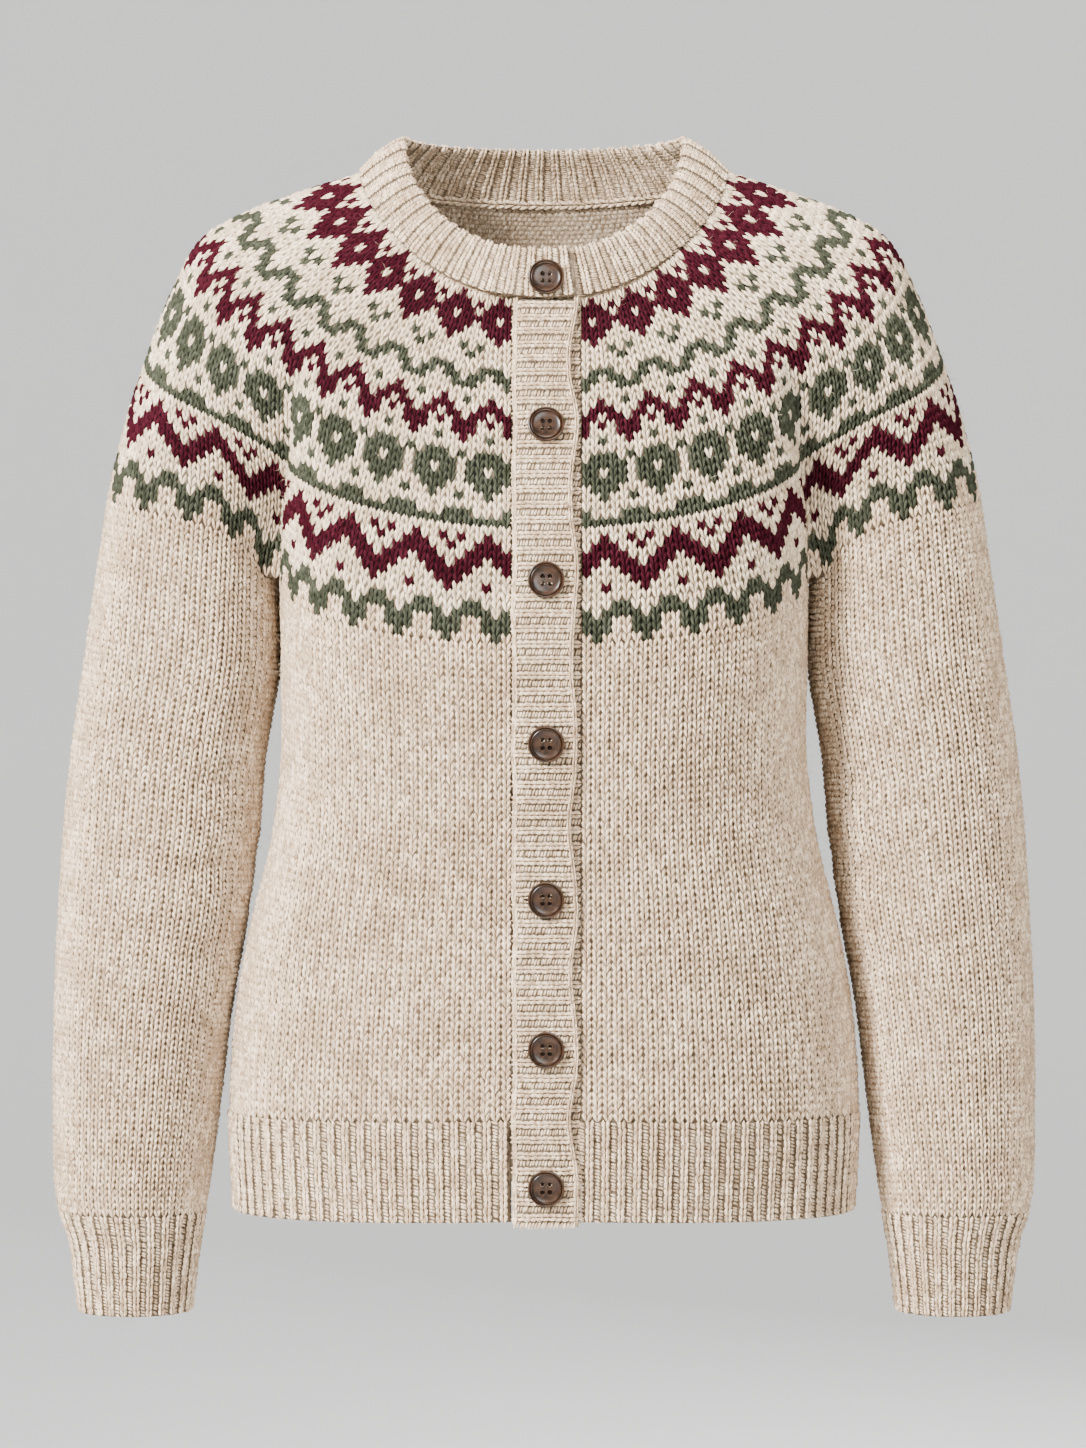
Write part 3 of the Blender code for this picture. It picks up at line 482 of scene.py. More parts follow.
def fold_at_armholes(row, share):
    """Presses the soft folds between sleeve and body into a row of the half yoke."""
    strength = smooth_step((share - FOLD_TOP) / FOLD_GROWTH)
    strength *= 1 - smooth_step((share - FOLD_FADE) / FOLD_FADE_LENGTH)
    lengths, depth = lengths_along(row), 0
    for corner in (YOKE_FRONT_STEPS, YOKE_FRONT_STEPS + YOKE_SLEEVE_STEPS - 1):
        off = (lengths - lengths[corner]) / FOLD_REACH
        depth = depth + FOLD_DEPTH * strength * np.exp(-(off**2))
    inwards = np.array(FOLD_MIDDLE) - row
    inwards[:, 2] = 0
    return row + unit(inwards) * depth[:, None]


def half_yoke(edge_x):
    """Rows of the half yoke at +X, from its front edge to the centre back."""
    first = share_at_x(body_curve(YOKE_FRONT_DROP), edge_x)
    front = np.linspace(first, BODY_FRONT_END, YOKE_FRONT_STEPS)
    sleeve = np.linspace(SLEEVE_FRONT_END, SLEEVE_BACK_END, YOKE_SLEEVE_STEPS)
    back = np.linspace(BODY_BACK_END, 1, YOKE_BACK_STEPS)

    def spread(front_part, sleeve_part):
        """Shares of a ring for the edge's points, if front and sleeve take up these parts."""
        of_sleeve = (sleeve - sleeve[0]) / (sleeve[-1] - sleeve[0])
        over = front_part + FOLD_BOTTOM + of_sleeve * (sleeve_part - 2 * FOLD_BOTTOM)
        rest = front_part + sleeve_part
        behind = rest + (back - back[0]) / (1 - back[0]) * (1 - rest)
        return np.concatenate([front / BODY_FRONT_END * front_part, over, behind])

    along, hull = spread(FRONT_PART, SLEEVE_PART), spread(FRONT_HULL, SLEEVE_HULL)
    edge = [
        body_points(body_top(front), front),
        sleeve_points(sleeve_top(sleeve), sleeve),
        body_points(body_top(back), back),
    ]
    last = smooth_ring(1)
    gap = np.concatenate(edge) - at_shares(last, shares_along(last), hull)
    rows = []
    for share in np.linspace(0, 1, YOKE_LATTICE_ROWS):
        ring = smooth_ring(share)
        pull = smooth_step((share - CREASE_START) / (1 - CREASE_START)) ** CREASE_BEND
        row = at_shares(ring, shares_along(ring), between(along, hull, share)) + pull * gap
        x = row[:YOKE_FRONT_STEPS, 0]
        x += (edge_x - x[0]) * (1 - (x - x[0]) / (x[-1] - x[0]))
        rows.append(fold_at_armholes(row, share))
    return np.array(rows)


def yoke_lattice():
    """The whole yoke, evenly stepped from the right front edge round the back to the left."""
    right = half_yoke(RIGHT_EDGE) * np.array([-1, 1, 1])
    left = half_yoke(LEFT_EDGE)[:, ::-1]
    rings = np.concatenate([right, left[:, 1:]], 1)
    return np.array([evenly(ring, YOKE_LATTICE_COLUMNS) for ring in rings])


YOKE = yoke_lattice()
print("neck seam", round(curve_length(YOKE[0]), 3), "m")
print("yoke's lower edge", round(curve_length(YOKE[-1]), 3), "m")

# %% [markdown]
# ## A panel of knitting
#
# Knitting is a grid: its rows are courses and its columns are wales. A panel is that grid laid
# on a surface, a point and an outward direction at each corner of each stitch. One more row and
# column lie all round it, so that a stitch at its edge can reach over the seam.

# %% Panels
Panel = namedtuple("Panel", "points away rows columns loop")


def one_more(grid):
    """A grid with one more row at each end, a step further out."""
    return np.concatenate([2 * grid[:1] - grid[1:2], grid, 2 * grid[-1:] - grid[-2:-1]])


def knitted_panel(surface, rows, columns, loop=False):
    """A panel on a surface, which is a function of the places 0 to 1 down and along it."""
    places = np.linspace(0, 1, rows + 1), np.linspace(0, 1, columns + 1)
    grid = one_more(surface(*np.meshgrid(*places, indexing="ij")))
    if loop:
        grid = np.concatenate([grid[:, -2:-1], grid, grid[:, 1:2]], 1)
    else:
        grid = one_more(grid.swapaxes(0, 1)).swapaxes(0, 1)
    away = unit(np.cross(np.gradient(grid, axis=1), np.gradient(grid, axis=0)))
    return Panel(grid, away, rows, columns, loop)


def on_panel(panel, row, column, height):
    """Points of a panel at rows and columns counted in stitches, raised by a height."""
    row, column, height = np.broadcast_arrays(row, column, height)
    place = (row + 1) / (panel.rows + 2), (column + 1) / (panel.columns + 2)
    return look_up(panel.points, *place) + look_up(panel.away, *place) * height[..., None]


# %% [markdown]
# ## Wool
#
# The yarn is heathered: pale and dark hairs are spun into it, so no two millimetres have quite
# the same colour. Paint alone would look like plastic. A node group mixes four layers of hairs
# and tones, each with its own noise, and puts out a colour and a height for the fibres. It is
# built once, and each yarn gives it its own colours. The dull sheen of wool is set on each
# material itself.

# %% The heathered yarn group
# A layer's noise has a scale and a detail, and is stretched and tilted. It shows between a low
# and a high value, by a share and in a colour that are inputs of the group.
LAYERS = table(
    "scale detail stretch tilt low high share colour",
    (480, 3, 0.3, 0.6, 0.45, 0.58, "Pale share", "Pale hair"),
    (45, 6, 1, 0, 0.46, 0.60, "Pale share", "Yarn"),
    (520, 2, 0.25, -0.8, 0.54, 0.64, "Pale share", "Pale hair"),
    (700, 3, 0.35, -0.4, 0.54, 0.66, "Dark share", "Dark hair"),
)
FIBRE_NOISE = (1300, 3, 0.3, 0.5)
YARN_COLOURS = ("Yarn", "Pale hair", "Dark hair")
YARN_SOCKETS = (
    ("INPUT", "NodeSocketColor", YARN_COLOURS),
    ("INPUT", "NodeSocketFloat", ("Pale share", "Dark share")),
    ("OUTPUT", "NodeSocketColor", ("Colour",)),
    ("OUTPUT", "NodeSocketFloat", ("Fibre height",)),
)


def set_inputs(tree, node, inputs):
    """Gives inputs of a node their values, or links from other nodes' outputs."""
    for name, value in inputs.items():
        if isinstance(value, bpy.types.NodeSocket):
            tree.links.new(value, node.inputs[name])
        else:
            node.inputs[name].default_value = value


def add_node(tree, kind, inputs, **settings):
    """A new node's outputs, after its settings and its inputs are set."""
    node = tree.nodes.new(kind)
    for name, value in settings.items():
        setattr(node, name, value)
    set_inputs(tree, node, inputs)
    return node.outputs


def heathered_yarn():
    group = bpy.data.node_groups.new("heathered yarn", "ShaderNodeTree")
    for way, kind, names in YARN_SOCKETS:
        for name in names:
            group.interface.new_socket(name=name, in_out=way, socket_type=kind)
    given = group.nodes.new("NodeGroupInput").outputs
    place = group.nodes.new("ShaderNodeTexCoord").outputs["Object"]

    def noise(scale, detail, stretch, tilt):
        inputs = {"Vector": place, "Scale": (1, 1, stretch), "Rotation": (0, tilt, 0)}
        vector = add_node(group, "ShaderNodeMapping", inputs)["Vector"]
        inputs = {"Vector": vector, "Scale": scale, "Detail": detail}
        return add_node(group, "ShaderNodeTexNoise", inputs)["Fac"]

    colour = given["Yarn"]
    for layer in LAYERS:
        inputs = {"Value": noise(*layer[:4]), "From Min": layer.low, "From Max": layer.high}
        inputs = {0: add_node(group, "ShaderNodeMapRange", inputs)["Result"], 1: given[layer.share]}
        amount = add_node(group, "ShaderNodeMath", inputs, operation="MULTIPLY")["Value"]
        inputs = {"Factor": amount, "A": colour, "B": given[layer.colour]}
        colour = add_node(group, "ShaderNodeMix", inputs, data_type="RGBA")["Result"]
    results = {"Colour": colour, "Fibre height": noise(*FIBRE_NOISE)}
    set_inputs(group, group.nodes.new("NodeGroupOutput"), results)
    return group


HEATHERED_YARN = heathered_yarn()

# %% Yarns
Yarn = namedtuple("Yarn", "colours pale_share dark_share")
OATMEAL = (0.45, 0.315, 0.200), (0.85, 0.665, 0.468), (0.16, 0.105, 0.06)
CREAM = (0.49, 0.370, 0.243), (0.86, 0.695, 0.510), (0.22, 0.155, 0.10)
BURGUNDY = (0.026, 0.0018, 0.0050), (0.052, 0.0075, 0.0135), (0.011, 0.0007, 0.002)
GREEN = (0.030, 0.032, 0.0195), (0.067, 0.071, 0.048), (0.012, 0.013, 0.008)
# A darker copy of the oatmeal yarn: painted shade on the neckband's inner face.
OATMEAL_IN_PAINTED_SHADE = (0.35, 0.243, 0.152), (0.68, 0.52, 0.36), (0.14, 0.092, 0.052)
YARNS = {
    "oatmeal": Yarn(OATMEAL, 0.8, 0.75),
    "cream": Yarn(CREAM, 0.8, 0.65),
    "burgundy": Yarn(BURGUNDY, 0.7, 0.6),
    "green": Yarn(GREEN, 0.7, 0.6),
    "oatmeal in painted shade": Yarn(OATMEAL_IN_PAINTED_SHADE, 0.8, 0.75),
}
YARN_ORDER = list(YARNS)
INNER_PAINTED_SHADE_YARN = YARN_ORDER.index("oatmeal in painted shade")
# Painted shade: what is left of a yarn's colour between stitches, in furrows and inside.
SHADE = 0.18
OATMEAL_SHADES = {
    "in furrows": 0.17,
    "in inner furrows": 0.27,
    "inside": 0.40,
    "of the wrong side": 0.62,
}
WOOL_SHADER = {
    "Roughness": 0.92,
    "Specular IOR Level": 0.06,
    "Sheen Weight": 0.05,
    "Sheen Roughness": 0.5,
}
WOOL_BUMP = {"Strength": 0.8, "Distance": 0.35 * MM}


def new_material(name, inputs):
    """A material and its shader, with values on the shader's own inputs."""
    made = bpy.data.materials.new(name)
    made.use_nodes = True
    shader = made.node_tree.nodes["Principled BSDF"]
    set_inputs(made.node_tree, shader, inputs)
    return made, shader


def wool(name, yarn, shade=1.0):
    sheen = (*yarn.colours[YARN_COLOURS.index("Pale hair")], 1)
    made, shader = new_material(name, {**WOOL_SHADER, "Sheen Tint": sheen})
    tree = made.node_tree
    inputs = {"Pale share": yarn.pale_share, "Dark share": yarn.dark_share}
    for socket, colour in zip(YARN_COLOURS, yarn.colours):
        inputs[socket] = (*(part * shade for part in colour), 1)
    yarn_made = add_node(tree, "ShaderNodeGroup", inputs, node_tree=HEATHERED_YARN)
    bump = add_node(tree, "ShaderNodeBump", {**WOOL_BUMP, "Height": yarn_made["Fibre height"]})
    set_inputs(tree, shader, {"Base Color": yarn_made["Colour"], "Normal": bump["Normal"]})
    return made


WOOL = {name: wool(f"{name} wool", yarn) for name, yarn in YARNS.items()}
# Darker copies of the yarns: painted shade on the wall between the stitches.
SHADED_WOOL = {
    name: wool(f"{name} wool in painted shade between stitches", yarn, SHADE) for name, yarn in YARNS.items()
}
# Darker copies of the oatmeal wool: painted shade in furrows, inside and on the wrong side.
FURROW_PAINTED_SHADE_WOOL, INNER_FURROW_PAINTED_SHADE_WOOL, INSIDE_PAINTED_SHADE_WOOL, WRONG_SIDE_PAINTED_SHADE_WOOL = (
    wool(f"oatmeal wool {where}", YARNS["oatmeal"], shade)
    for where, shade in OATMEAL_SHADES.items()
)
print("yarns:", ", ".join(YARN_ORDER))

# %% [markdown]
# ## The shape of a stitch
#
# A knit stitch shows as a V: two legs of yarn that meet low in the middle and spread upwards.
# Its upper ends clasp the foot of the stitch above, and that is why knitting looks plaited.
# A swept tube for each leg would take a hundred triangles. Here each leg is a slim ridge with
# two pointed ends, eight triangles, and smooth shading rounds it.

# %% Stitch shapes
# Shares of the stitch's height and width, and the ridge's height over the cloth in millimetres.
LEG_SECTION = "down across half_width ridge"
PLAIN_LEG = table(
    LEG_SECTION,
    (1.08, 0.47, 0.000, 0.20),
    (0.60, 0.325, 0.145, 1.45),
    (0.06, 0.200, 0.200, 1.50),
    (-0.36, 0.16, 0.000, 0.10),
)
RIB_LEG = table(
    LEG_SECTION,
    (1.10, 0.40, 0.00, 0.50),
    (0.62, 0.28, 0.20, 1.60),
    (0.10, 0.24, 0.20, 1.65),
    (-0.36, 0.22, 0.00, 0.50),
)
LEG_FACES = np.array(
    [(0, 2, 1), (0, 3, 2), (1, 2, 5), (1, 5, 4), (2, 3, 6), (2, 6, 5), (4, 5, 7), (5, 6, 7)]
)
LEG_POINTS = 8


def copies(faces, size, count):
    """The faces of many copies of a shape that has so many points."""
    return (np.arange(count)[:, None, None] * size + faces).reshape(-1, 3)


def stitch_shape(leg):
    """The points of a stitch's two legs, as columns (down, across, height), and its faces."""
    points = []
    for mirrored in (False, True):
        for section in leg:
            for side in (-1, 0, 1) if section.half_width else (0,):
                across = section.across + side * section.half_width
                height = 0 if side else section.ridge * MM
                points.append((section.down, 1 - across if mirrored else across, height))
    return np.array(points), np.concatenate([LEG_FACES, LEG_POINTS + LEG_FACES[:, ::-1]])


def strand_shape(*points):
    """One strand from side to side, its heights given in millimetres."""
    return np.array(points) * (1, 1, MM), LEG_FACES[:, ::-1]


PURL_BUMP = strand_shape(
    (0.85, -0.08, 0.0),
    (0.10, 0.26, 0.1),
    (0.50, 0.28, 0.7),
    (0.95, 0.30, 0.1),
    (0.10, 0.74, 0.1),
    (0.50, 0.72, 0.7),
    (0.95, 0.70, 0.1),
    (0.85, 1.08, 0.0),
)
# A purl column in a furrow shows slanting strands, two for each course.
PURL_STRAND = strand_shape(
    (0.52, -0.08, 0.0),
    (0.12, 0.28, 0.1),
    (0.32, 0.26, 0.75),
    (0.50, 0.24, 0.1),
    (-0.02, 0.76, 0.1),
    (0.16, 0.74, 0.75),
    (0.36, 0.72, 0.1),
    (-0.04, 1.08, 0.0),
)
PLAIN_STITCH = stitch_shape(PLAIN_LEG)
RIB_STITCH = stitch_shape(RIB_LEG)

# %% Meshes from arrays
def new_object(name, data):
    made = bpy.data.objects.new(name, data)
    bpy.context.scene.collection.objects.link(made)
    return made


def mesh_of(name, points, faces, materials, slots=None):
    """An object from arrays of points and of faces that all have as many corners."""
    count, corners = faces.shape
    mesh = bpy.data.meshes.new(name)
    mesh.vertices.add(len(points))
    mesh.vertices.foreach_set("co", np.ascontiguousarray(points, np.float32).ravel())
    mesh.loops.add(count * corners)
    mesh.loops.foreach_set("vertex_index", np.ascontiguousarray(faces, np.int32).ravel())
    mesh.polygons.add(count)
    mesh.polygons.foreach_set("loop_start", np.arange(0, count * corners, corners, dtype=np.int32))
    for material in materials:
        mesh.materials.append(material)
    if slots is not None:
        mesh.polygons.foreach_set("material_index", np.ascontiguousarray(slots, np.int32))
    mesh.update(calc_edges=True)
    mesh.shade_smooth()
    made = new_object(name, mesh)
    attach(made, ROOT)
    return made


Stitches = namedtuple("Stitches", "row column width yarn")
JITTER = 0.022  # of a stitch, how far a hand-knitted one lies from its place
UNEVEN = 0.12  # how much stitches differ in height
FELTED = 0.22  # how much lower the stitches lie where wear has felted them
FELT_GRID = 9


def knit(name, panel, stitches, shape, lift, inside=False, jitter=JITTER, wools=WOOL):
    """All the stitches of a piece as one mesh."""
    local, faces = shape
    count = len(stitches.row)
    row = stitches.row[:, None] + local[:, 0] + chance.normal(0, jitter, (count, 1))
    across = local[:, 1] + chance.normal(0, jitter, (count, 1))
    column = stitches.column[:, None] + across * stitches.width[:, None]
    patches = chance.uniform(1 - FELTED, 1 + FELTED / 2, (FELT_GRID, FELT_GRID, 1))
    felt = look_up(patches, stitches.row / panel.rows, stitches.column / panel.columns)
    height = lift + local[:, 2] * felt * (1 + chance.normal(0, UNEVEN, (count, 1)))
    points = on_panel(panel, row, column, -height if inside else height).reshape(-1, 3)
    corners = copies(faces[:, ::-1] if inside else faces, len(local), count)
    used = sorted(set(stitches.yarn.tolist()))
    slots = np.searchsorted(used, np.repeat(stitches.yarn, len(faces)))
    made = mesh_of(name, points, corners, [wools[YARN_ORDER[k]] for k in used], slots)
    print(f"{name}: {count} stitches, {len(corners)} triangles")
    return made


HAIR_LENGTH = (2.5 * MM, 6.5 * MM)
HAIR_WIDTH = 0.085 * MM
HAIR_STAND = 0.9  # how steeply hairs stand out from the cloth
HAIR_BEND = 0.6
HAIR_ROOT = 0.1 * MM
SLIVER = np.array([(0, 1, 3), (0, 3, 2), (2, 3, 4)])


def fuzz(name, panel, count, cells=None):
    """Loose hairs: bent slivers of three triangles, in the yarns that a piece's cells have."""
    row, column = chance.uniform(0, panel.rows, count), chance.uniform(0, panel.columns, count)
    root, out = (on_panel(panel, row, column, height) for height in (HAIR_ROOT, HAIR_ROOT + MM))
    way = unit(unit(chance.normal(0, 1, (count, 3))) + unit(out - root) * HAIR_STAND)
    bend = unit(way + chance.normal(0, HAIR_BEND, (count, 3)))
    side = unit(np.cross(way, chance.normal(0, 1, (count, 3)))) * HAIR_WIDTH / 2
    length = chance.uniform(*HAIR_LENGTH, (count, 1))
    middle = root + way * length / 2
    tip = middle + bend * length / 2
    points = np.stack([root - side, root + side, middle - side, middle + side, tip], 1)
    cells = np.zeros((panel.rows, panel.columns), int) if cells is None else cells
    yarns = np.repeat(cells[row.astype(int), column.astype(int)], len(SLIVER))
    faces = copies(SLIVER, points.shape[1], count)
    made = mesh_of(name, points.reshape(-1, 3), faces, WOOL.values(), yarns)
    return made


def all_stitches(rows, columns, first=0.0, width=1.0):
    """One oatmeal stitch for each cell of a panel."""
    row, column = np.meshgrid(np.arange(rows), np.arange(columns), indexing="ij")
    count = rows * columns
    yarns = np.full(count, YARN_ORDER.index("oatmeal"))
    return Stitches(row.ravel().astype(float), column.ravel() + first, np.full(count, width), yarns)


# %% [markdown]
# ## The cloth under the stitches
#
# Between the legs of the stitches one sees the yarn behind them, in shadow. A closed thin wall
# under the stitches stands for it, and makes the garment opaque and hollow. It is painted in
# shade: darker than the stitches, in colours that follow theirs.

# %% Walls of cloth
WALL_MARGIN = 0.03  # of a stitch, how far a wall ends inside its panel's edges


def cloth_wall(name, panel, rows, columns, outer, inner, materials, slots=None):
    """A closed wall over a panel, whose two faces lie at these heights in each column."""
    down = np.linspace(WALL_MARGIN, panel.rows - WALL_MARGIN, rows + 1)[:, None]
    side = 0 if panel.loop else WALL_MARGIN
    along = np.linspace(side, panel.columns - side, columns + 1)[: -1 if panel.loop else None]
    heights = [np.broadcast_to(height, columns + 1)[: len(along)] for height in (outer, inner)]
    points = [on_panel(panel, down, along, height).reshape(-1, 3) for height in heights]
    start = len(points[0])
    index = np.arange(start).reshape(rows + 1, -1)
    if panel.loop:
        index = np.concatenate([index, index[:, :1]], 1)
    rims = [(index[0], 1), (index[-1], -1)]
    if not panel.loop:
        rims += [(index[:, 0], -1), (index[:, -1], 1)]
    quads = np.stack([index[:-1, :-1], index[1:, :-1], index[1:, 1:], index[:-1, 1:]], -1)
    quads = quads.reshape(-1, 4)
    faces = [quads, quads[:, ::-1] + start]
    for rim, way in rims:
        near, far = rim[:-1], rim[1:]
        faces.append(np.stack([near, far, far + start, near + start], -1)[:, ::way])
    faces = np.concatenate(faces)
    shown = np.full(len(faces), len(materials) - 1)
    shown[: len(quads)] = 0 if slots is None else slots.ravel()
    made = mesh_of(name, np.concatenate(points), faces, materials, shown)
    print(f"{name}: wall of {len(faces)} faces")
    return made


def solid_cloth(node, slot, *wall):
    """The wall of cloth that stands for a soft solid."""
    cloth = cloth_wall(f"{node}_cloth", *wall)
    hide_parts(node)
    return cloth


CLOTH_HEIGHTS = -1.25 * MM, -WALL  # the wall's outside, under the stitches, and its inside
CLOTH_OUT = CLOTH_HEIGHTS[0]

# %% [markdown]
# ## The colourwork chart
#
# Fair isle patterns are charted on squared paper, one square for a stitch, and repeat round
# the yoke. The yoke widens from band to band, so each band has its own number of stitches.
# In the charts below a line is a course, read from its motif's middle: b is burgundy, g green,
# o oatmeal and a dot cream. Each band starts so many stitches away from that middle, at the
# front edge, and it ends in mirror image at the other edge.

# %% Charts of the yoke
DIAMONDS = """
b.....
bb.b.b
bbb.bb
.bbbbb
bbb.bb
bb...b
b.....
..g.g.
...g..
......
"""
GREEN_ZIGZAG = """
gg...g
.gg.gg
..ggg.
......
"""
LEAVES_AND_DIAMONDS = """
b..g..
bb...b
.bb.bb
b.bbb.
..bbb.
g..b..
......
gg.g.g
ggg.gg
.gg.gg
ggg.gg
gg...g
g..g..
......
..ggg.
gggggg
"""
GREAT_ZIGZAG = """
........
b..b.b..
bb..b..b
bbb...bb
.bbb.bbb
..bbbbb.
...bbb..
b...b...
........
"""
BORDER = """
..gg.
.gggg
ggoog
ggoog
goooo
"""
# Each band's stitches round the yoke, its first place in the chart, and the chart.
BANDS = (
    (159, -1, DIAMONDS),
    (185, -2, GREEN_ZIGZAG),
    (215, -2, LEAVES_AND_DIAMONDS),
    (237, -2, GREAT_ZIGZAG),
    (243, -1, BORDER),
)
CHART_YARNS = {".": "cream", "b": "burgundy", "g": "green", "o": "oatmeal"}
LETTER_YARN = {letter: YARN_ORDER.index(yarn) for letter, yarn in CHART_YARNS.items()}


def courses():
    """For each course of the yoke, down from the neck, the yarn of each stitch."""
    for stitches, start, chart in BANDS:
        for line in chart.split():
            places = (np.arange(stitches) + start) % len(line)
            yield np.array([LETTER_YARN[line[place]] for place in places])


COURSES = list(courses())
YOKE_ROWS = len(COURSES)
YOKE_COLUMNS = 243
YOKE_HAIRS = 6500
YOKE_SLOT = "colourwork_knit"
print("the yoke has", YOKE_ROWS, "courses and", sum(map(len, COURSES)), "stitches")

# %% The yoke
yoke_panel = knitted_panel(lambda *places: look_up(YOKE, *places), YOKE_ROWS, YOKE_COLUMNS)


def yoke_stitches():
    parts = []
    for row, yarns in enumerate(COURSES):
        count = len(yarns)
        width = YOKE_COLUMNS / count
        parts.append((np.full(count, float(row)), np.arange(count) * width, [width] * count, yarns))
    return Stitches(*(np.concatenate(part) for part in zip(*parts)))


middles = (np.arange(YOKE_COLUMNS) + 0.5) / YOKE_COLUMNS
cloth_yarns = np.array([yarns[(middles * len(yarns)).astype(int)] for yarns in COURSES])
# The yoke's wall is painted in shade: darker copies of its yarns outside, darker oatmeal inside.
yoke_wools = [*SHADED_WOOL.values(), INSIDE_PAINTED_SHADE_WOOL]
yoke_wall = (yoke_panel, YOKE_ROWS, YOKE_COLUMNS, *CLOTH_HEIGHTS, yoke_wools, cloth_yarns)
pieces = {}
yoke = [
    yoke_panel,
    solid_cloth("yoke", YOKE_SLOT, *yoke_wall),
    knit("yoke_knit", yoke_panel, yoke_stitches(), PLAIN_STITCH, CLOTH_OUT),
    fuzz("yoke_fuzz", yoke_panel, YOKE_HAIRS, cloth_yarns),
]

# %% [markdown]
# ## Fronts and back
#
# The body is plain stocking stitch: every stitch a V, all in one colour. Its courses follow
# the yoke's lower edge at the top and the hem at the bottom. The fronts' inner edges are
# drawn straight, where the bands are sewn on.

# %% Plain panels of the body
BODY_COURSES = 67
HALF_BODY_WALES = 82
EDGES = {RIGHT_SIDE: RIGHT_EDGE, LEFT_SIDE: LEFT_EDGE}
PLAIN_SLOT = "oatmeal_knit"
FUZZ_EACH = 0.6  # hairs for each stitch


def first_shares(drop):
    """The shares of the body's ring at which the fronts start, at a drop."""
    return {side: share_at_x(body_curve(drop), edge) for side, edge in EDGES.items()}


def front_surface(points, first, side):
    """A front's surface, from right to left, by a function of its points."""
    start, end = (first[side], SIDE_SEAM)[::-side]
    return lambda down, along: points(down, between(start, end, along), side, side)


def back_surface(points):
    """The back's surface, from the right side seam to the left one."""

    def surface(down, along):
        share = 1 - np.abs(1 - 2 * along) * (1 - SIDE_SEAM)
        return points(down, share, RIGHT_SIDE, np.where(along < 0.5, RIGHT_SIDE, LEFT_SIDE))

    return surface


BODY_FIRST = first_shares(YOKE_FRONT_DROP)


def body_cloth(down, share, side, mirror):
    """Points of the body at places down from the yoke and at shares of its ring."""
    drop = between(body_top(share), hem_drop(HEM_TOP, share), down)
    points = body_points(drop, share)
    start = body_points(drop, BODY_FIRST[side])[..., 0]
    reach = body_points(drop, BODY_FRONT_END)[..., 0]
    fade = np.where(share <= BODY_FRONT_END, 1 - (points[..., 0] - start) / (reach - start), 0)
    points[..., 0] += (EDGES[side] - start) * fade
    points[..., 0] *= mirror
    return press_creases(points)


def plain_piece(name, surface, rows, columns, loop=False):
    """A piece of oatmeal stocking stitch: its panel, its wall, its stitches and its hairs."""
    panel = knitted_panel(surface, rows, columns, loop)
    # The wall is painted in shade: darker oatmeal outside and inside.
    wools = [SHADED_WOOL["oatmeal"], INSIDE_PAINTED_SHADE_WOOL]
    cloth = solid_cloth(name, PLAIN_SLOT, panel, rows, columns // 2, *CLOTH_HEIGHTS, wools)
    stitches = all_stitches(rows, columns)
    knits = knit(f"{name}_knit", panel, stitches, PLAIN_STITCH, CLOTH_OUT)
    hairs = fuzz(f"{name}_fuzz", panel, int(FUZZ_EACH * rows * columns))
    pieces[name] = [panel, cloth, knits, hairs]


front_wales = round(HALF_BODY_WALES * (SIDE_SEAM - BODY_FIRST[RIGHT_SIDE]))
back_wales = 2 * round(HALF_BODY_WALES * (1 - SIDE_SEAM))
body_right, body_left = (front_surface(body_cloth, BODY_FIRST, side) for side in EDGES)
plain_piece("front_right", body_right, BODY_COURSES, front_wales)
plain_piece("back", back_surface(body_cloth), BODY_COURSES, back_wales)
plain_piece("front_left", body_left, BODY_COURSES, front_wales)

# %% [markdown]
# ## Sleeves
#
# A sleeve is a tube knitted down from the yoke. Its wales run the whole length.

# %% Sleeves
SLEEVE_COURSES = 104
SLEEVE_WALES = 60
SIDES = (("right", RIGHT_SIDE), ("left", LEFT_SIDE))


def tube(points, side):
    """The surface of a tube round an arm, by a function of its points."""

    def surface(down, along):
        made = points(down, along if side == RIGHT_SIDE else 1 - along)
        made[..., 0] *= side
        return made

    return surface


def sleeve_cloth(down, turn):
    share = SLEEVE_FRONT_END + turn
    top = sleeve_top(np.minimum(share, SLEEVE_BACK_END))
    return sleeve_points(between(top, CUFF_TOP, down), share)


for name, side in SIDES:
    surface = tube(sleeve_cloth, side)
    plain_piece(f"sleeve_{name}", surface, SLEEVE_COURSES, SLEEVE_WALES, loop=True)

# %% [markdown]
# ## Ribs
#
# One-by-one rib alternates a knit column, which stands out, with a purl column, which sinks
# in and shows as small slanting strands. The wall under the stitches rises and falls with
# the columns.

# %% Ribbed pieces
KNIT_SHARE = 0.56  # of a rib, how much the knit column takes up
PURL_SHARE = 1 - KNIT_SHARE + 0.06  # a little more than the rest, to reach under its edges
RIB_PROFILE = (-1.0, 0.45, 1.0, 0.45)  # the wall's rise at each quarter of a rib
RIB_SINK = 1.0 * MM  # how deep the wall lies under the surface
RIB_SLOT = "oatmeal_rib"
PURL_JITTER = 0.06
PURL_LIFT = 0.12 * MM


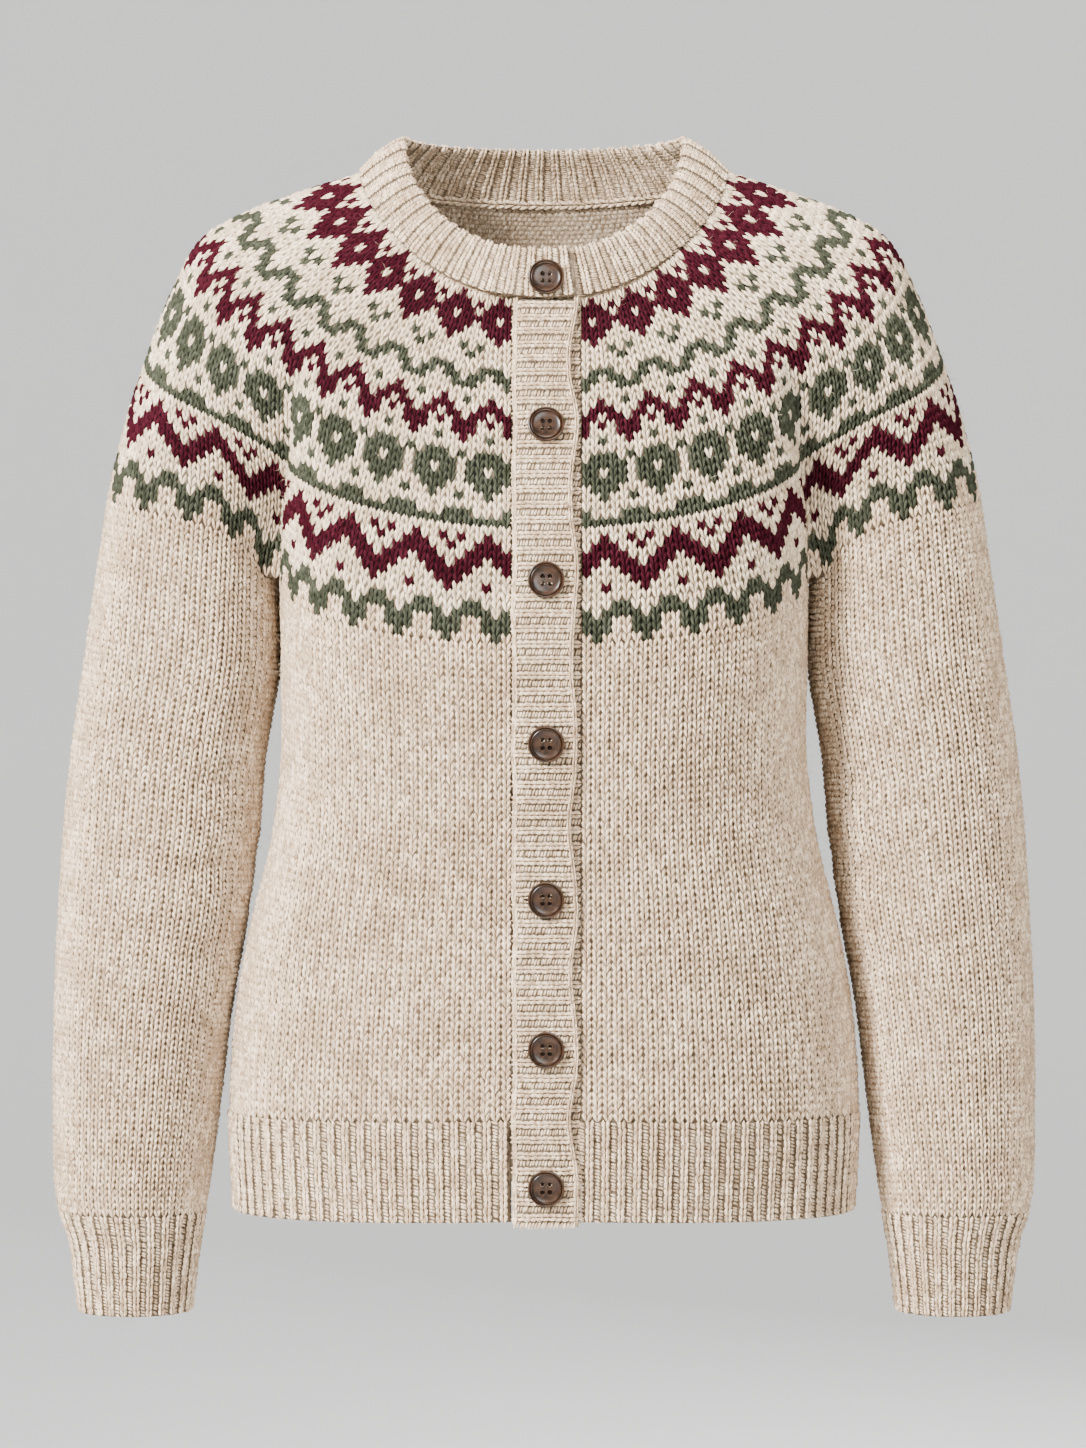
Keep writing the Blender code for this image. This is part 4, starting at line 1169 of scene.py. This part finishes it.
def ribbed_piece(name, surface, rows, ribs, rise, wall, loop=False, inner_rows=0):
    """Ribs whose columns run down the surface: the wall, the knit columns and the purl strands."""
    panel = knitted_panel(surface, rows, ribs, loop)
    quarters = 4 * ribs
    profile = np.resize(RIB_PROFILE, quarters + 1) * rise / 2
    # The wall is painted in shade: darker oatmeal in the furrows and inside, a lighter shade in the inner
    # rows' furrows.
    wools, slots = [FURROW_PAINTED_SHADE_WOOL, INSIDE_PAINTED_SHADE_WOOL], np.zeros((rows, quarters))
    if inner_rows:
        wools.insert(1, INNER_FURROW_PAINTED_SHADE_WOOL)
        slots[:inner_rows] = 1
    heights = profile - RIB_SINK, -wall - rise / 2
    cloth = solid_cloth(name, RIB_SLOT, panel, rows, quarters, *heights, wools, slots)
    knits = all_stitches(rows, ribs, (1 - KNIT_SHARE) / 2, KNIT_SHARE)
    purls = all_stitches(2 * rows, ribs, 1 - PURL_SHARE / 2, PURL_SHARE)
    purls.row[:] /= 2
    # Stitches of the inner rows take a darker oatmeal yarn: painted shade.
    for stitches in (knits, purls):
        stitches.yarn[stitches.row < inner_rows] = INNER_PAINTED_SHADE_YARN
    high, low = rise / 2 - RIB_SINK, -rise / 2 - RIB_SINK + PURL_LIFT
    knits = knit(f"{name}_knit", panel, knits, RIB_STITCH, high)
    purls = knit(f"{name}_purl", panel, purls, PURL_STRAND, low, jitter=PURL_JITTER)
    pieces[name] = [panel, cloth, knits, purls]


# %% Hem
HEM_RIB = 8.9 * MM
HEM_COURSES = 15
hem_length = curve_length(body_curve(HEM_TOP))
front_ribs = round((SIDE_SEAM * hem_length - RIGHT_EDGE) / HEM_RIB)
back_ribs = 2 * round((1 - SIDE_SEAM) * hem_length / HEM_RIB)


def hem_cloth(down, share, _, mirror):
    points = body_points(hem_drop(between(HEM_TOP, HEM_END, down), share), share)
    points[..., 0] *= mirror
    return points


hem_right, hem_left = (front_surface(hem_cloth, first_shares(HEM_TOP), side) for side in EDGES)
for name, surface, ribs in (
    ("hem_right", hem_right, front_ribs),
    ("hem_back", back_surface(hem_cloth), back_ribs),
    ("hem_left", hem_left, front_ribs),
):
    ribbed_piece(name, surface, HEM_COURSES, ribs, RIB_RISE, RIB_WALL)

# %% Cuffs
CUFF_RIBS = 28
CUFF_COURSES = 16


def cuff_cloth(down, turn):
    return sleeve_points(between(CUFF_TOP, CUFF_END, down), turn)


for name, side in SIDES:
    surface = tube(cuff_cloth, side)
    ribbed_piece(f"cuff_{name}", surface, CUFF_COURSES, CUFF_RIBS, RIB_RISE, RIB_WALL, loop=True)

# %% [markdown]
# ## Neckband
#
# The neckband is picked up along the neck, knitted to twice its height, folded inwards and
# sewn down, so its ribs run up the outside, over the fold and down the inside. Its ends
# overlap at the centre front, under the top button.

# %% Neckband
NECK_TOP_RING = YOKE_RINGS[0]._replace(
    side_x=79.0, side_z=17.6, front_y=-67.0, front_z=-55.7, back_y=60.0, back_z=17.4
)
NECK_DROOP = 1.0
NECK_WALL = 4.0 * MM
NECK_LAYER = 0.8 * MM  # the wall of each of the folded band's two layers
NECK_PROUD = 0.8 * MM
NECK_OVER_X = 18.8 * MM
NECK_UNDER_X = -13.0 * MM
NECK_LIFT_X = -32 * MM
NECK_LIFT = NECK_WALL + 0.7 * MM
NECK_RIB = 8.9 * MM
SEAM_GAP = 0.3 * MM
NECK_BULGE = 1.8 * MM  # how far the soft band bows outwards between its seam and its fold
FLAT_AT_FRONT = 0.3  # share of the half ring where it lies flatter, towards the top button
OVER_BAND = (-17.6 * MM, 18.5 * MM)
UNDER_BAND = (-12.5 * MM, 20.2 * MM)
FACE_COURSES = 12
FOLD_COURSES = 3
FOLD_START = 0.88  # share of the band's height where it starts to turn over
NECK_COURSES = 2 * FACE_COURSES + FOLD_COURSES
NECK_SEAM = smooth_ring(0)
NECK_TOP = ring_curve(NECK_TOP_RING, NECK_DROOP)
NECK_SHARES = shares_along(NECK_SEAM)


def neck_share_at(x):
    return math.copysign(share_at_x(NECK_SEAM, abs(x)), x)


def neck_lines(places):
    """Seam points, top points and outward directions at signed shares of the neck's half ring."""
    wrapped = (places + 1) % 2 - 1
    seam, top = (at_shares(curve, NECK_SHARES, np.abs(wrapped)) for curve in (NECK_SEAM, NECK_TOP))
    for line in (seam, top):
        line[:, 0] *= np.where(wrapped < 0, -1.0, 1.0)
    up = unit(top - seam)
    return seam, top, up, unit(np.cross(np.gradient(seam, axis=0), -up))


neck_start = neck_share_at(NECK_OVER_X)
neck_end = neck_share_at(NECK_UNDER_X) - 2
neck_ribs = round((neck_start - neck_end) * curve_length(NECK_TOP) / NECK_RIB)
neck_lift_start = neck_share_at(NECK_LIFT_X)
neck_lift_end = neck_share_at(-OVER_BAND[1])


def fold_path(down, places):
    """Shares of the band's height and offsets outwards, from its inside over the fold and down."""
    mid_out, mid_in = BAND_RISE / 2, -NECK_WALL + BAND_RISE / 2
    rows = (1 - down) * NECK_COURSES
    over = np.clip((rows - FACE_COURSES) / FOLD_COURSES, 0, 1) * math.pi
    up = FOLD_START * np.minimum(rows, NECK_COURSES - rows) / FACE_COURSES
    up = np.minimum(up, FOLD_START) + (1 - FOLD_START) * np.sin(over)
    out = (mid_out + mid_in) / 2 + (mid_out - mid_in) / 2 * np.cos(over)
    bulge = NECK_BULGE * smooth_step(np.abs((places + 1) % 2 - 1) / FLAT_AT_FRONT)
    return up, out + bulge * np.sin(np.pi * np.clip(up, 0, 1))


def neckband_surface(down, along):
    places = between(neck_start, neck_end, along[0])
    seam, top, up_way, away = neck_lines(places)
    lift = NECK_LIFT * smooth_step((places - neck_lift_start) / (neck_lift_end - neck_lift_start))
    height = np.linalg.norm(top - seam, axis=-1)
    up, out = fold_path(down[:, :1], places)
    rise = SEAM_GAP / 2 + up * height
    return seam + up_way * rise[..., None] + away * (NECK_PROUD + lift + out)[..., None]


neck_sizes = (NECK_COURSES, neck_ribs, BAND_RISE, NECK_LAYER)
# Its inner face is painted in shade, in its stitches and in its furrows.
ribbed_piece("neckband", neckband_surface, *neck_sizes, inner_rows=FACE_COURSES)
print("neckband ribs:", neck_ribs)

# %% [markdown]
# ## Inside the back neck
#
# Knitting's wrong side shows inside the back neck: rows of purl bumps. A chain of yarn covers
# the seam where the neckband is sewn down. The chain is one column of plain stitches that
# runs along the seam, so it needs no shape of its own.

# %% The joining chain and the wrong side
CHAIN_LINK = 5.0 * MM
CHAIN_HEIGHT = 6.0 * MM
CHAIN_RISE = -1.2 * MM
CHAIN_IN = 3.0 * MM
WRONG_SIDE_DEPTH = 0.45  # shares of the yoke's depth and of its girth
WRONG_SIDE_START = 0.26
WRONG_SIDE_ROWS = 34
WRONG_SIDE_COLUMNS = 92
WRONG_SIDE_SINK = 0.1 * MM  # how deep the bumps' ends lie in the wall
chain_start = -neck_share_at(RIGHT_EDGE)
chain_end = neck_share_at(LEFT_EDGE) - 2


def chain_surface(down, along):
    places = between(chain_start, chain_end, down[:, 0])
    seam, _, up_way, away = neck_lines(places)
    rise = CHAIN_RISE + CHAIN_HEIGHT * (0.5 - along)
    return seam[:, None] + up_way[:, None] * rise[..., None] - away[:, None] * CHAIN_IN


def wrong_side_surface(down, along):
    place = between(WRONG_SIDE_START, 1 - WRONG_SIDE_START, along)
    return look_up(YOKE, down * WRONG_SIDE_DEPTH, place)


chain_links = round(curve_length(NECK_SEAM) * 2 / CHAIN_LINK)
chain_panel = knitted_panel(chain_surface, chain_links, 1)
chain_stitches = all_stitches(chain_links, 1)
neck_chain = knit("neck_chain", chain_panel, chain_stitches, PLAIN_STITCH, 0)
bumps = all_stitches(WRONG_SIDE_ROWS, WRONG_SIDE_COLUMNS)
bumps.column[:] += 0.5 * (bumps.row % 2)  # each bump lies between two of the row above
wrong_side = knit(
    "yoke_wrong_side",
    knitted_panel(wrong_side_surface, WRONG_SIDE_ROWS, WRONG_SIDE_COLUMNS),
    bumps,
    PURL_BUMP,
    WALL - WRONG_SIDE_SINK,
    inside=True,
    jitter=PURL_JITTER,
    # The bumps take a darker oatmeal wool: painted shade.
    wools={"oatmeal": WRONG_SIDE_PAINTED_SHADE_WOOL},
)

# %% [markdown]
# ## Front bands
#
# The bands are picked up along the fronts, so their ribs run across them. The buttonhole band
# lies on the button band, which shows only as a strip in its shadow. The upper one has a
# plain column along each edge, and its free edge draws in a little between the buttons.

# %% The surface under the bands
BAND_WALL = 2.6 * MM
UNDER_WALL = 2.0 * MM
BAND_LIFT_WIDTH = 4.4 * MM
BAND_LIFT = BAND_WALL + 0.35 * MM
BAND_EDGE_LIFT = 0.2 * MM
FRONT_BULGE = 0.36
BULGE_TOP = 240 * MM
BAND_RIB = 8.4 * MM
BAND_START = 0.5 * MM  # below the neck's seam
CENTRE_STEPS = (81, 121)  # down the yoke and down the front below it


def centre_line():
    ring = table_rows(YOKE_RINGS, np.linspace(0, 1, CENTRE_STEPS[0]))
    drops = np.linspace(YOKE_FRONT_DROP, BAND_END, CENTRE_STEPS[1])[1:]
    y = np.concatenate([ring.front_y, table_rows(BODY_RINGS, drops / MM).front]) * MM
    return np.stack([np.zeros_like(y), y, np.concatenate([ring.front_z * MM, -drops])], -1)


CENTRE = centre_line()
CENTRE_SHARES = shares_along(CENTRE)
centre_length = curve_length(CENTRE)
centre_away = unit(np.cross(np.gradient(CENTRE, axis=0), np.array([1.0, 0, 0])))
band_ribs = round(centre_length / BAND_RIB)


def band_points(x, share, lift):
    """Points over the centre front, at an x and a share of its length, raised by a lift."""
    base = at_shares(CENTRE, CENTRE_SHARES, share)
    away = unit(at_shares(centre_away, CENTRE_SHARES, share))
    drops = np.maximum(-base[..., 2].ravel(), BULGE_TOP) / MM
    half = table_rows(BODY_RINGS, drops).half_width.reshape(x.shape) * MM
    slope = 2 * FRONT_BULGE * x / half
    base[..., 0] = x
    base[..., 1] += slope * x / 2
    away[..., 0] = -slope * away[..., 1]
    return base + unit(away) * lift[..., None]


def share_at_height(z):
    return np.interp(-z, -CENTRE[:, 2], CENTRE_SHARES)


def down_band(place):
    """Shares of the centre's length at places from 0 to 1 down a band."""
    return between(BAND_START / centre_length, 1, place)


def over_lift(x):
    """How high the buttonhole band's cloth lies over the front at each x."""
    climb = np.clip((x - OVER_BAND[0]) / BAND_LIFT_WIDTH, 0, 1)
    return between(BAND_EDGE_LIFT, BAND_LIFT, climb)


# %% The buttons' places and the free edge
BUTTONS = {number: frame["nodes"][f"button_{number}"] for number in range(1, 8)}
OVER_KNIT = (-17.2 * MM, 17.2 * MM)  # the stitches' roots; their edges stand out a little
BAND_WANDER = 0.35 * MM
# Waves along the band: how strong each is, how often it turns and where it starts.
WANDERS = ((1.0, 47, 0.6), (0.6, 81, 2.1))
EDGE_DRAWN = 3.4 * MM  # how far its free edge draws in between two buttons
DRAWN_UNEVENLY = (0.2, 2.3)  # how much that differs, and how often from button to button


def corners_of(node):
    return np.array([node.matrix_world @ corner.co for corner in node.data.vertices])


button_heights = np.array([corners_of(node)[:, 2].mean() for node in BUTTONS.values()])
button_shares = share_at_height(button_heights)


def strayed(x, share):
    """The upper band's x: it wanders a little, and its free edge is pulled out at each button."""
    wander = sum(size * np.sin(often * share + start) for size, often, start in WANDERS)
    place = np.interp(share, button_shares, np.arange(len(button_shares)))
    size, often = DRAWN_UNEVENLY
    drawn = (0.5 - 0.5 * np.cos(2 * np.pi * place)) * (1 + size * np.sin(often * place))
    return x + BAND_WANDER * wander - EDGE_DRAWN * drawn * smooth_step(x / OVER_KNIT[1])


# %% Both bands
ACROSS_COURSES = 10
SELVEDGE = 2.7 * MM
SELVEDGE_STITCH = 3.9 * MM
SELVEDGE_RISE = 0.1 * MM
selvedge_rows = round(centre_length / SELVEDGE_STITCH)


def over_surface(down, along):
    """The upper ribs' surface: down across the band, and along from its top to its lower end."""
    x, share = between(*OVER_KNIT, down), down_band(along)
    return band_points(strayed(x, share), share, over_lift(x) + BAND_RISE / 2)


def under_surface(down, along):
    x = between(*UNDER_BAND, down)
    return band_points(x, down_band(along), np.full_like(x, -BAND_RISE / 2))


def selvedge(name, left_x):
    """One plain column along the upper band's edge, from an x to the right of it."""

    def surface(down, along):
        x, share = left_x + SELVEDGE * (1 - along), down_band(down)
        return band_points(strayed(x, share), share, over_lift(x) + SELVEDGE_RISE)

    stitches = all_stitches(selvedge_rows, 1)
    panel = knitted_panel(surface, selvedge_rows, 1)
    return knit(f"buttonhole_band_selvedge_{name}", panel, stitches, RIB_STITCH, 0)


for name, surface, wall in (
    ("buttonhole_band", over_surface, BAND_WALL - BAND_RISE / 2),
    ("button_band", under_surface, UNDER_WALL),
):
    ribbed_piece(name, surface, ACROSS_COURSES, band_ribs, BAND_RISE, wall)
over_pieces = pieces["buttonhole_band"]
over_pieces.append(selvedge("right", OVER_KNIT[0]))
over_pieces.append(selvedge("left", OVER_KNIT[1] - SELVEDGE / 2))

# %% [markdown]
# ## Buttons
#
# The buttons are turned from horn-like plastic: a rim with a groove, a dished middle and four
# drilled holes. The profile is turned on a lathe in code, and a boolean drills the holes, as
# the real ones are made. One mesh serves all seven. Each sits where its solid is. Under it, an
# overcast slit in the band stands for the buttonhole.

# %% Horn
HORN_SHADER = {"Roughness": 0.3, "Specular IOR Level": 0.3}
HORN_NOISE = {"Scale": 160, "Detail": 4, "Distortion": 1.5}
HORN_COLOURS = ((0.35, (0.007, 0.0028, 0.0010, 1)), (0.68, (0.046, 0.020, 0.0085, 1)))
THREAD_AND_SLIT_SHADE_COLOURS = (0.012, 0.007, 0.005), (0.03, 0.018, 0.012), (0.004, 0.002, 0.001)


def horn():
    made, shader = new_material("brown horn", HORN_SHADER)
    tree = made.node_tree
    place = tree.nodes.new("ShaderNodeTexCoord").outputs["Object"]
    noise = add_node(tree, "ShaderNodeTexNoise", {"Vector": place, **HORN_NOISE})
    ramp = tree.nodes.new("ShaderNodeValToRGB")
    for element, (position, colour) in zip(ramp.color_ramp.elements, HORN_COLOURS):
        element.position, element.color = position, colour
    set_inputs(tree, ramp, {"Fac": noise["Fac"]})
    set_inputs(tree, shader, {"Base Color": ramp.outputs["Color"]})
    return made


HORN = horn()
# The brown thread's dark colour also fills the buttonhole slits, as painted shade.
THREAD_AND_SLIT_SHADE = wool("brown thread and painted slit shade", Yarn(THREAD_AND_SLIT_SHADE_COLOURS, 0.5, 0.5))

# %% A turned button
# Shares of the button's radius and thickness, from the middle of its face to that of its back.
BUTTON_PROFILE = (
    (0.00, 0.42),
    (0.45, 0.43),
    (0.66, 0.47),
    (0.745, 0.57),
    (0.775, 0.86),
    (0.80, 0.94),
    (0.825, 0.90),
    (0.86, 0.66),
    (0.895, 0.92),
    (0.93, 1.00),
    (0.965, 0.97),
    (1.00, 0.78),
    (0.99, 0.45),
    (0.90, 0.12),
    (0.72, 0.00),
    (0.00, 0.00),
)
BUTTON_SIDES = 64
HOLE_RADIUS = 1.25 * MM
HOLE_OFF = 2.0 * MM
HOLE_SIDES = 20
HOLES = ((1, 1), (1, -1), (-1, 1), (-1, -1))
PLUG_PROFILE = ((0.00, 0.12), (0.60, 0.108), (0.90, -0.20), (0.00, -0.20))
PLUG_SIDES = 12
SHARP_ANGLE = math.radians(38)


def turned(profile, sides):
    """Points and faces of a closed turned form, whose profile starts and ends on its axis."""
    around = np.linspace(0, 2 * math.pi, sides, endpoint=False)
    rings = [[(r * math.cos(a), r * math.sin(a), z) for a in around] for r, z in profile[1:-1]]
    ends = [(0, 0, profile[0][1])], [(0, 0, profile[-1][1])]
    points = sum(rings, ends[0]) + ends[1]
    last = len(points) - 1
    faces = []
    for step in range(sides):
        beside = (step + 1) % sides
        faces.append((0, 1 + step, 1 + beside))
        for ring in range(len(rings) - 1):
            near, far = 1 + ring * sides, 1 + (ring + 1) * sides
            faces.append((near + step, far + step, far + beside, near + beside))
        end = 1 + (len(rings) - 1) * sides
        faces.append((end + step, last, end + beside))
    return points, faces


def plain_object(name, points, faces):
    mesh = bpy.data.meshes.new(name)
    mesh.from_pydata(points, [], faces)
    mesh.update()
    return new_object(name, mesh)


def in_four_holes(name, profile, sides):
    """Turned forms in all four holes of a button, as one object."""
    one, one_faces = turned(profile, sides)
    points, faces = [], []
    for x, y in HOLES:
        first = len(points)
        points += [(px + x * HOLE_OFF, py + y * HOLE_OFF, pz) for px, py, pz in one]
        faces += [tuple(first + corner for corner in face) for face in one_faces]
    return plain_object(name, points, faces)


def finished(mesh, material):
    mesh.materials.clear()
    mesh.materials.append(material)
    mesh.shade_smooth()
    return mesh


def drilled_button(radius, thickness):
    profile = [(r * radius, z * thickness) for r, z in BUTTON_PROFILE]
    blank = plain_object("button blank", *turned(profile, BUTTON_SIDES))
    deep = 2 * thickness
    drill = [(0, deep), (HOLE_RADIUS, deep), (HOLE_RADIUS, -deep), (0, -deep)]
    drills = in_four_holes("drills", drill, HOLE_SIDES)
    cut = blank.modifiers.new("holes", "BOOLEAN")
    cut.operation, cut.solver, cut.object = "DIFFERENCE", "EXACT", drills
    ready = blank.evaluated_get(bpy.context.evaluated_depsgraph_get())
    mesh = finished(bpy.data.meshes.new_from_object(ready), HORN)
    mesh.set_sharp_from_angle(angle=SHARP_ANGLE)
    for made in (blank, drills):
        bpy.data.objects.remove(made)
    return mesh


def thread_plugs(thickness):
    """The sewing thread in the four holes."""
    profile = [(r * HOLE_RADIUS, z * thickness) for r, z in PLUG_PROFILE]
    plugs = in_four_holes("thread in a button", profile, PLUG_SIDES)
    mesh = finished(plugs.data, THREAD_AND_SLIT_SHADE)
    bpy.data.objects.remove(plugs)
    return mesh


Seat = namedtuple("Seat", "place axis right up radius thickness")


def seat_of(node):
    """Where a button's back lies, its directions outwards, right and up, and its sizes."""
    points = corners_of(node)
    middle = (points.max(0) + points.min(0)) / 2
    axis = np.linalg.svd(points - points.mean(0), full_matrices=False)[2][2]
    axis = -axis if axis[1] > 0 else axis
    right = unit(np.array([1.0, 0, 0]) - axis * axis[0])
    along = (points - middle) @ axis
    off = np.linalg.norm(points - middle - along[:, None] * axis, axis=1)
    place = middle + axis * along.min()
    return Seat(place, axis, right, np.cross(axis, right), off.max(), np.ptp(along))


def seated(name, mesh, seat):
    made = new_object(name, mesh)
    turn = Matrix(np.stack([seat.right, seat.up, seat.axis], 1).tolist()).to_4x4()
    made.matrix_world = Matrix.Translation(seat.place.tolist()) @ turn
    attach(made, ROOT)
    return made


def height_off_band(seat):
    """How far a button's back stands off the face of the band under it."""
    x, share = seat.place[:1], np.array([share_at_height(seat.place[2])])
    return float((seat.place - band_points(x, share, over_lift(x) + BAND_RISE)[0]) @ seat.axis)


seats = {number: seat_of(node) for number, node in BUTTONS.items()}
radius, thickness = seats[1][-2:]
BUTTON_MESH = drilled_button(radius, thickness)
THREAD_MESH = thread_plugs(thickness)
for number, seat in seats.items():
    button = seated(f"button_{number}_turned", BUTTON_MESH, seat)
    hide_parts(f"button_{number}")
    seated(f"button_{number}_thread", THREAD_MESH, seat)
    print(f"button {number} stands {height_off_band(seat) / MM:.2f} mm off the band")
print("button radius, thickness:", radius, thickness, "faces:", len(BUTTON_MESH.polygons))

# %% Buttonholes
BUTTONHOLE_LENGTH = 21 * MM
BUTTONHOLE_SHIFT = -1.6 * MM
BUTTONHOLE_GAP = 0.9 * MM
BUTTONHOLE_EDGE = 1.1 * MM
BUTTON_CLEARANCE = 0.3 * MM
NECK_RADIUS = 75 * MM  # how round the cloth is under the top button, and under the others
FRONT_RADIUS = 260 * MM
EDGE_STITCHES = 14
EDGE_ROWS = 3  # the slit lies in the middle one
EDGE_SINK = -0.3 * MM
SLIT_HEIGHTS = 0.1 * MM, -0.6 * MM


def buttonhole_panel(seat, radius, height, rows):
    """A panel across a button's seat, rounded as the cloth there is."""

    def surface(down, along):
        x = BUTTONHOLE_SHIFT + BUTTONHOLE_LENGTH * (0.5 - along)
        low = BUTTON_CLEARANCE + x**2 / (2 * radius)
        across = seat.right * x[..., None] + seat.up * ((0.5 - down) * height)[..., None]
        return seat.place + across - seat.axis * low[..., None]

    return knitted_panel(surface, rows, EDGE_STITCHES)


for number, seat in seats.items():
    radius = NECK_RADIUS if number == 1 else FRONT_RADIUS
    gap = buttonhole_panel(seat, radius, BUTTONHOLE_GAP, 1)
    # The slit's gap is a thin dark sheet: painted shade.
    slit = cloth_wall(f"buttonhole_{number}_slit", gap, 1, EDGE_STITCHES, *SLIT_HEIGHTS, [THREAD_AND_SLIT_SHADE])
    edges = all_stitches(EDGE_ROWS, EDGE_STITCHES)
    edges = Stitches(*(part[edges.row != EDGE_ROWS // 2] for part in edges))
    around = buttonhole_panel(seat, radius, BUTTONHOLE_GAP + 2 * BUTTONHOLE_EDGE, EDGE_ROWS)
    edge_name = f"buttonhole_{number}_edge"
    over_pieces += [slit, knit(edge_name, around, edges, PURL_BUMP, EDGE_SINK)]

# %% [markdown]
# ## The cut of the cloth
#
# Each wall is a sheet of cloth, knitted to a flat size. The sizes are its longest course and
# its longest column, and the area is the sum of its stitches'.

# %% Sheets
pieces["neckband"].append(neck_chain)
pieces["yoke"] = [*yoke, wrong_side]


def cut_sizes(panel):
    """A panel's longest row and longest column, and its area."""
    grid = panel.points[1:-1, 1:-1]
    across, down = (np.linalg.norm(np.diff(grid, axis=axis), axis=-1) for axis in (1, 0))
    width, length = across.sum(1).max(), down.sum(0).max()
    area = (across[:-1] * down[:, :-1]).sum()
    return round(float(width), 3), round(float(length), 3), round(float(area), 4)


for name, (panel, cloth, *knits) in pieces.items():
    *flat, area = cut_sizes(panel)
    flat, area = tuple(flat), min(area, flat[0] * flat[1])
    print(name, "flat", flat, "area", area)

# %% [markdown]
# ## Studio
#
# A pale bowl stands for floor and backdrop in one, so no horizon shows from any side. The
# cardigan hangs at the height of a wearer's shoulders. A strong lamp lights it from the left
# of the front. Broad, weaker ones fill in from the right, from above and from behind.

# %% Backdrop
FLOOR = -1.35
BOWL_FLAT = 3.4
BOWL_RADIUS = 6.5
BOWL_TOP = 5.0
BOWL_SIDES = 96
BOWL_STEPS = 17
PAPER = {"Base Color": (0.73, 0.73, 0.72, 1), "Roughness": 0.9}


def bowl():
    bend = BOWL_RADIUS - BOWL_FLAT
    turns = np.linspace(0, math.pi / 2, BOWL_STEPS)
    profile = [(0.0, 0.0), (BOWL_FLAT / 2, 0.0)]
    profile += [(BOWL_FLAT + bend * math.sin(t), bend * (1 - math.cos(t))) for t in turns]
    profile.append((BOWL_RADIUS, BOWL_TOP))
    around = np.linspace(0, 2 * math.pi, BOWL_SIDES, endpoint=False)
    points = [(r * math.cos(a), r * math.sin(a), FLOOR + z) for r, z in profile for a in around]
    here = np.arange(len(points)).reshape(len(profile), -1)
    beside = np.roll(here, -1, 1)
    faces = np.stack([here[:-1], beside[:-1], beside[1:], here[1:]], -1).reshape(-1, 4)
    mesh_of("backdrop", points, faces, [new_material("pale paper", PAPER)[0]])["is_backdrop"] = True


bowl()

# %% Lamps
CHEST = Vector((0, 0, -0.25))
LAMPS = (
    ("key softbox", (-2.3, -2.7, 1.6), (0.7, 0.7), 600),
    ("fill softbox", (0.9, -3.5, 1.0), (1.2, 1.6), 120),
    ("top softbox", (0, -0.2, 2.6), (1.6, 1.6), 130),
    ("back softbox", (1.0, 3.4, 0.8), (2.2, 2.2), 130),
)
for name, place, size, power in LAMPS:
    light = bpy.data.lights.new(name, "AREA")
    light.shape = "RECTANGLE"
    light.size, light.size_y = size
    light.energy = power
    lamp = new_object(name, light)
    lamp.location = place
    lamp.rotation_euler = (CHEST - lamp.location).to_track_quat("-Z", "Y").to_euler()
world = bpy.data.worlds.new("soft room")
world.use_nodes = True
background = world.node_tree.nodes["Background"]
set_inputs(world.node_tree, background, {"Color": (1, 1, 1, 1), "Strength": 0.07})
bpy.context.scene.world = world

# %% [markdown]
# ## Camera
#
# The photograph was taken level, from the front, at the garment's middle height. Its frame is
# 825 mm high at the cardigan, seen from 2.4 m.

# %% Camera
SENSOR = 36.0
VIEW_DISTANCE = 2.4
FRAME_HEIGHT = 0.8254
EYE = (-0.00057, -VIEW_DISTANCE, -0.3186)
camera_data = bpy.data.cameras.new("camera")
camera_data.sensor_width = SENSOR
camera_data.lens = SENSOR * VIEW_DISTANCE / FRAME_HEIGHT
camera = new_object("camera", camera_data)
camera.location = EYE
camera.rotation_euler = (math.pi / 2, 0, 0)
bpy.context.scene.camera = camera

# %% Sizes of both models
boxes = {"cad": [list(corner) for corner in cad_box], "visual": [list(corner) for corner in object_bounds()]}
for axis in range(3):
    cad, visual = (boxes[kind][1][axis] - boxes[kind][0][axis] for kind in ("cad", "visual"))
    print(f"axis {axis}: CAD {cad:.4f} m, visual {visual:.4f} m")
triangles = sum(
    sum(len(face.vertices) - 2 for face in o.data.polygons)
    for o in bpy.data.objects
    if o.type == "MESH" and not o.hide_render and o.name != "backdrop"
)
print("triangles shown:", triangles)
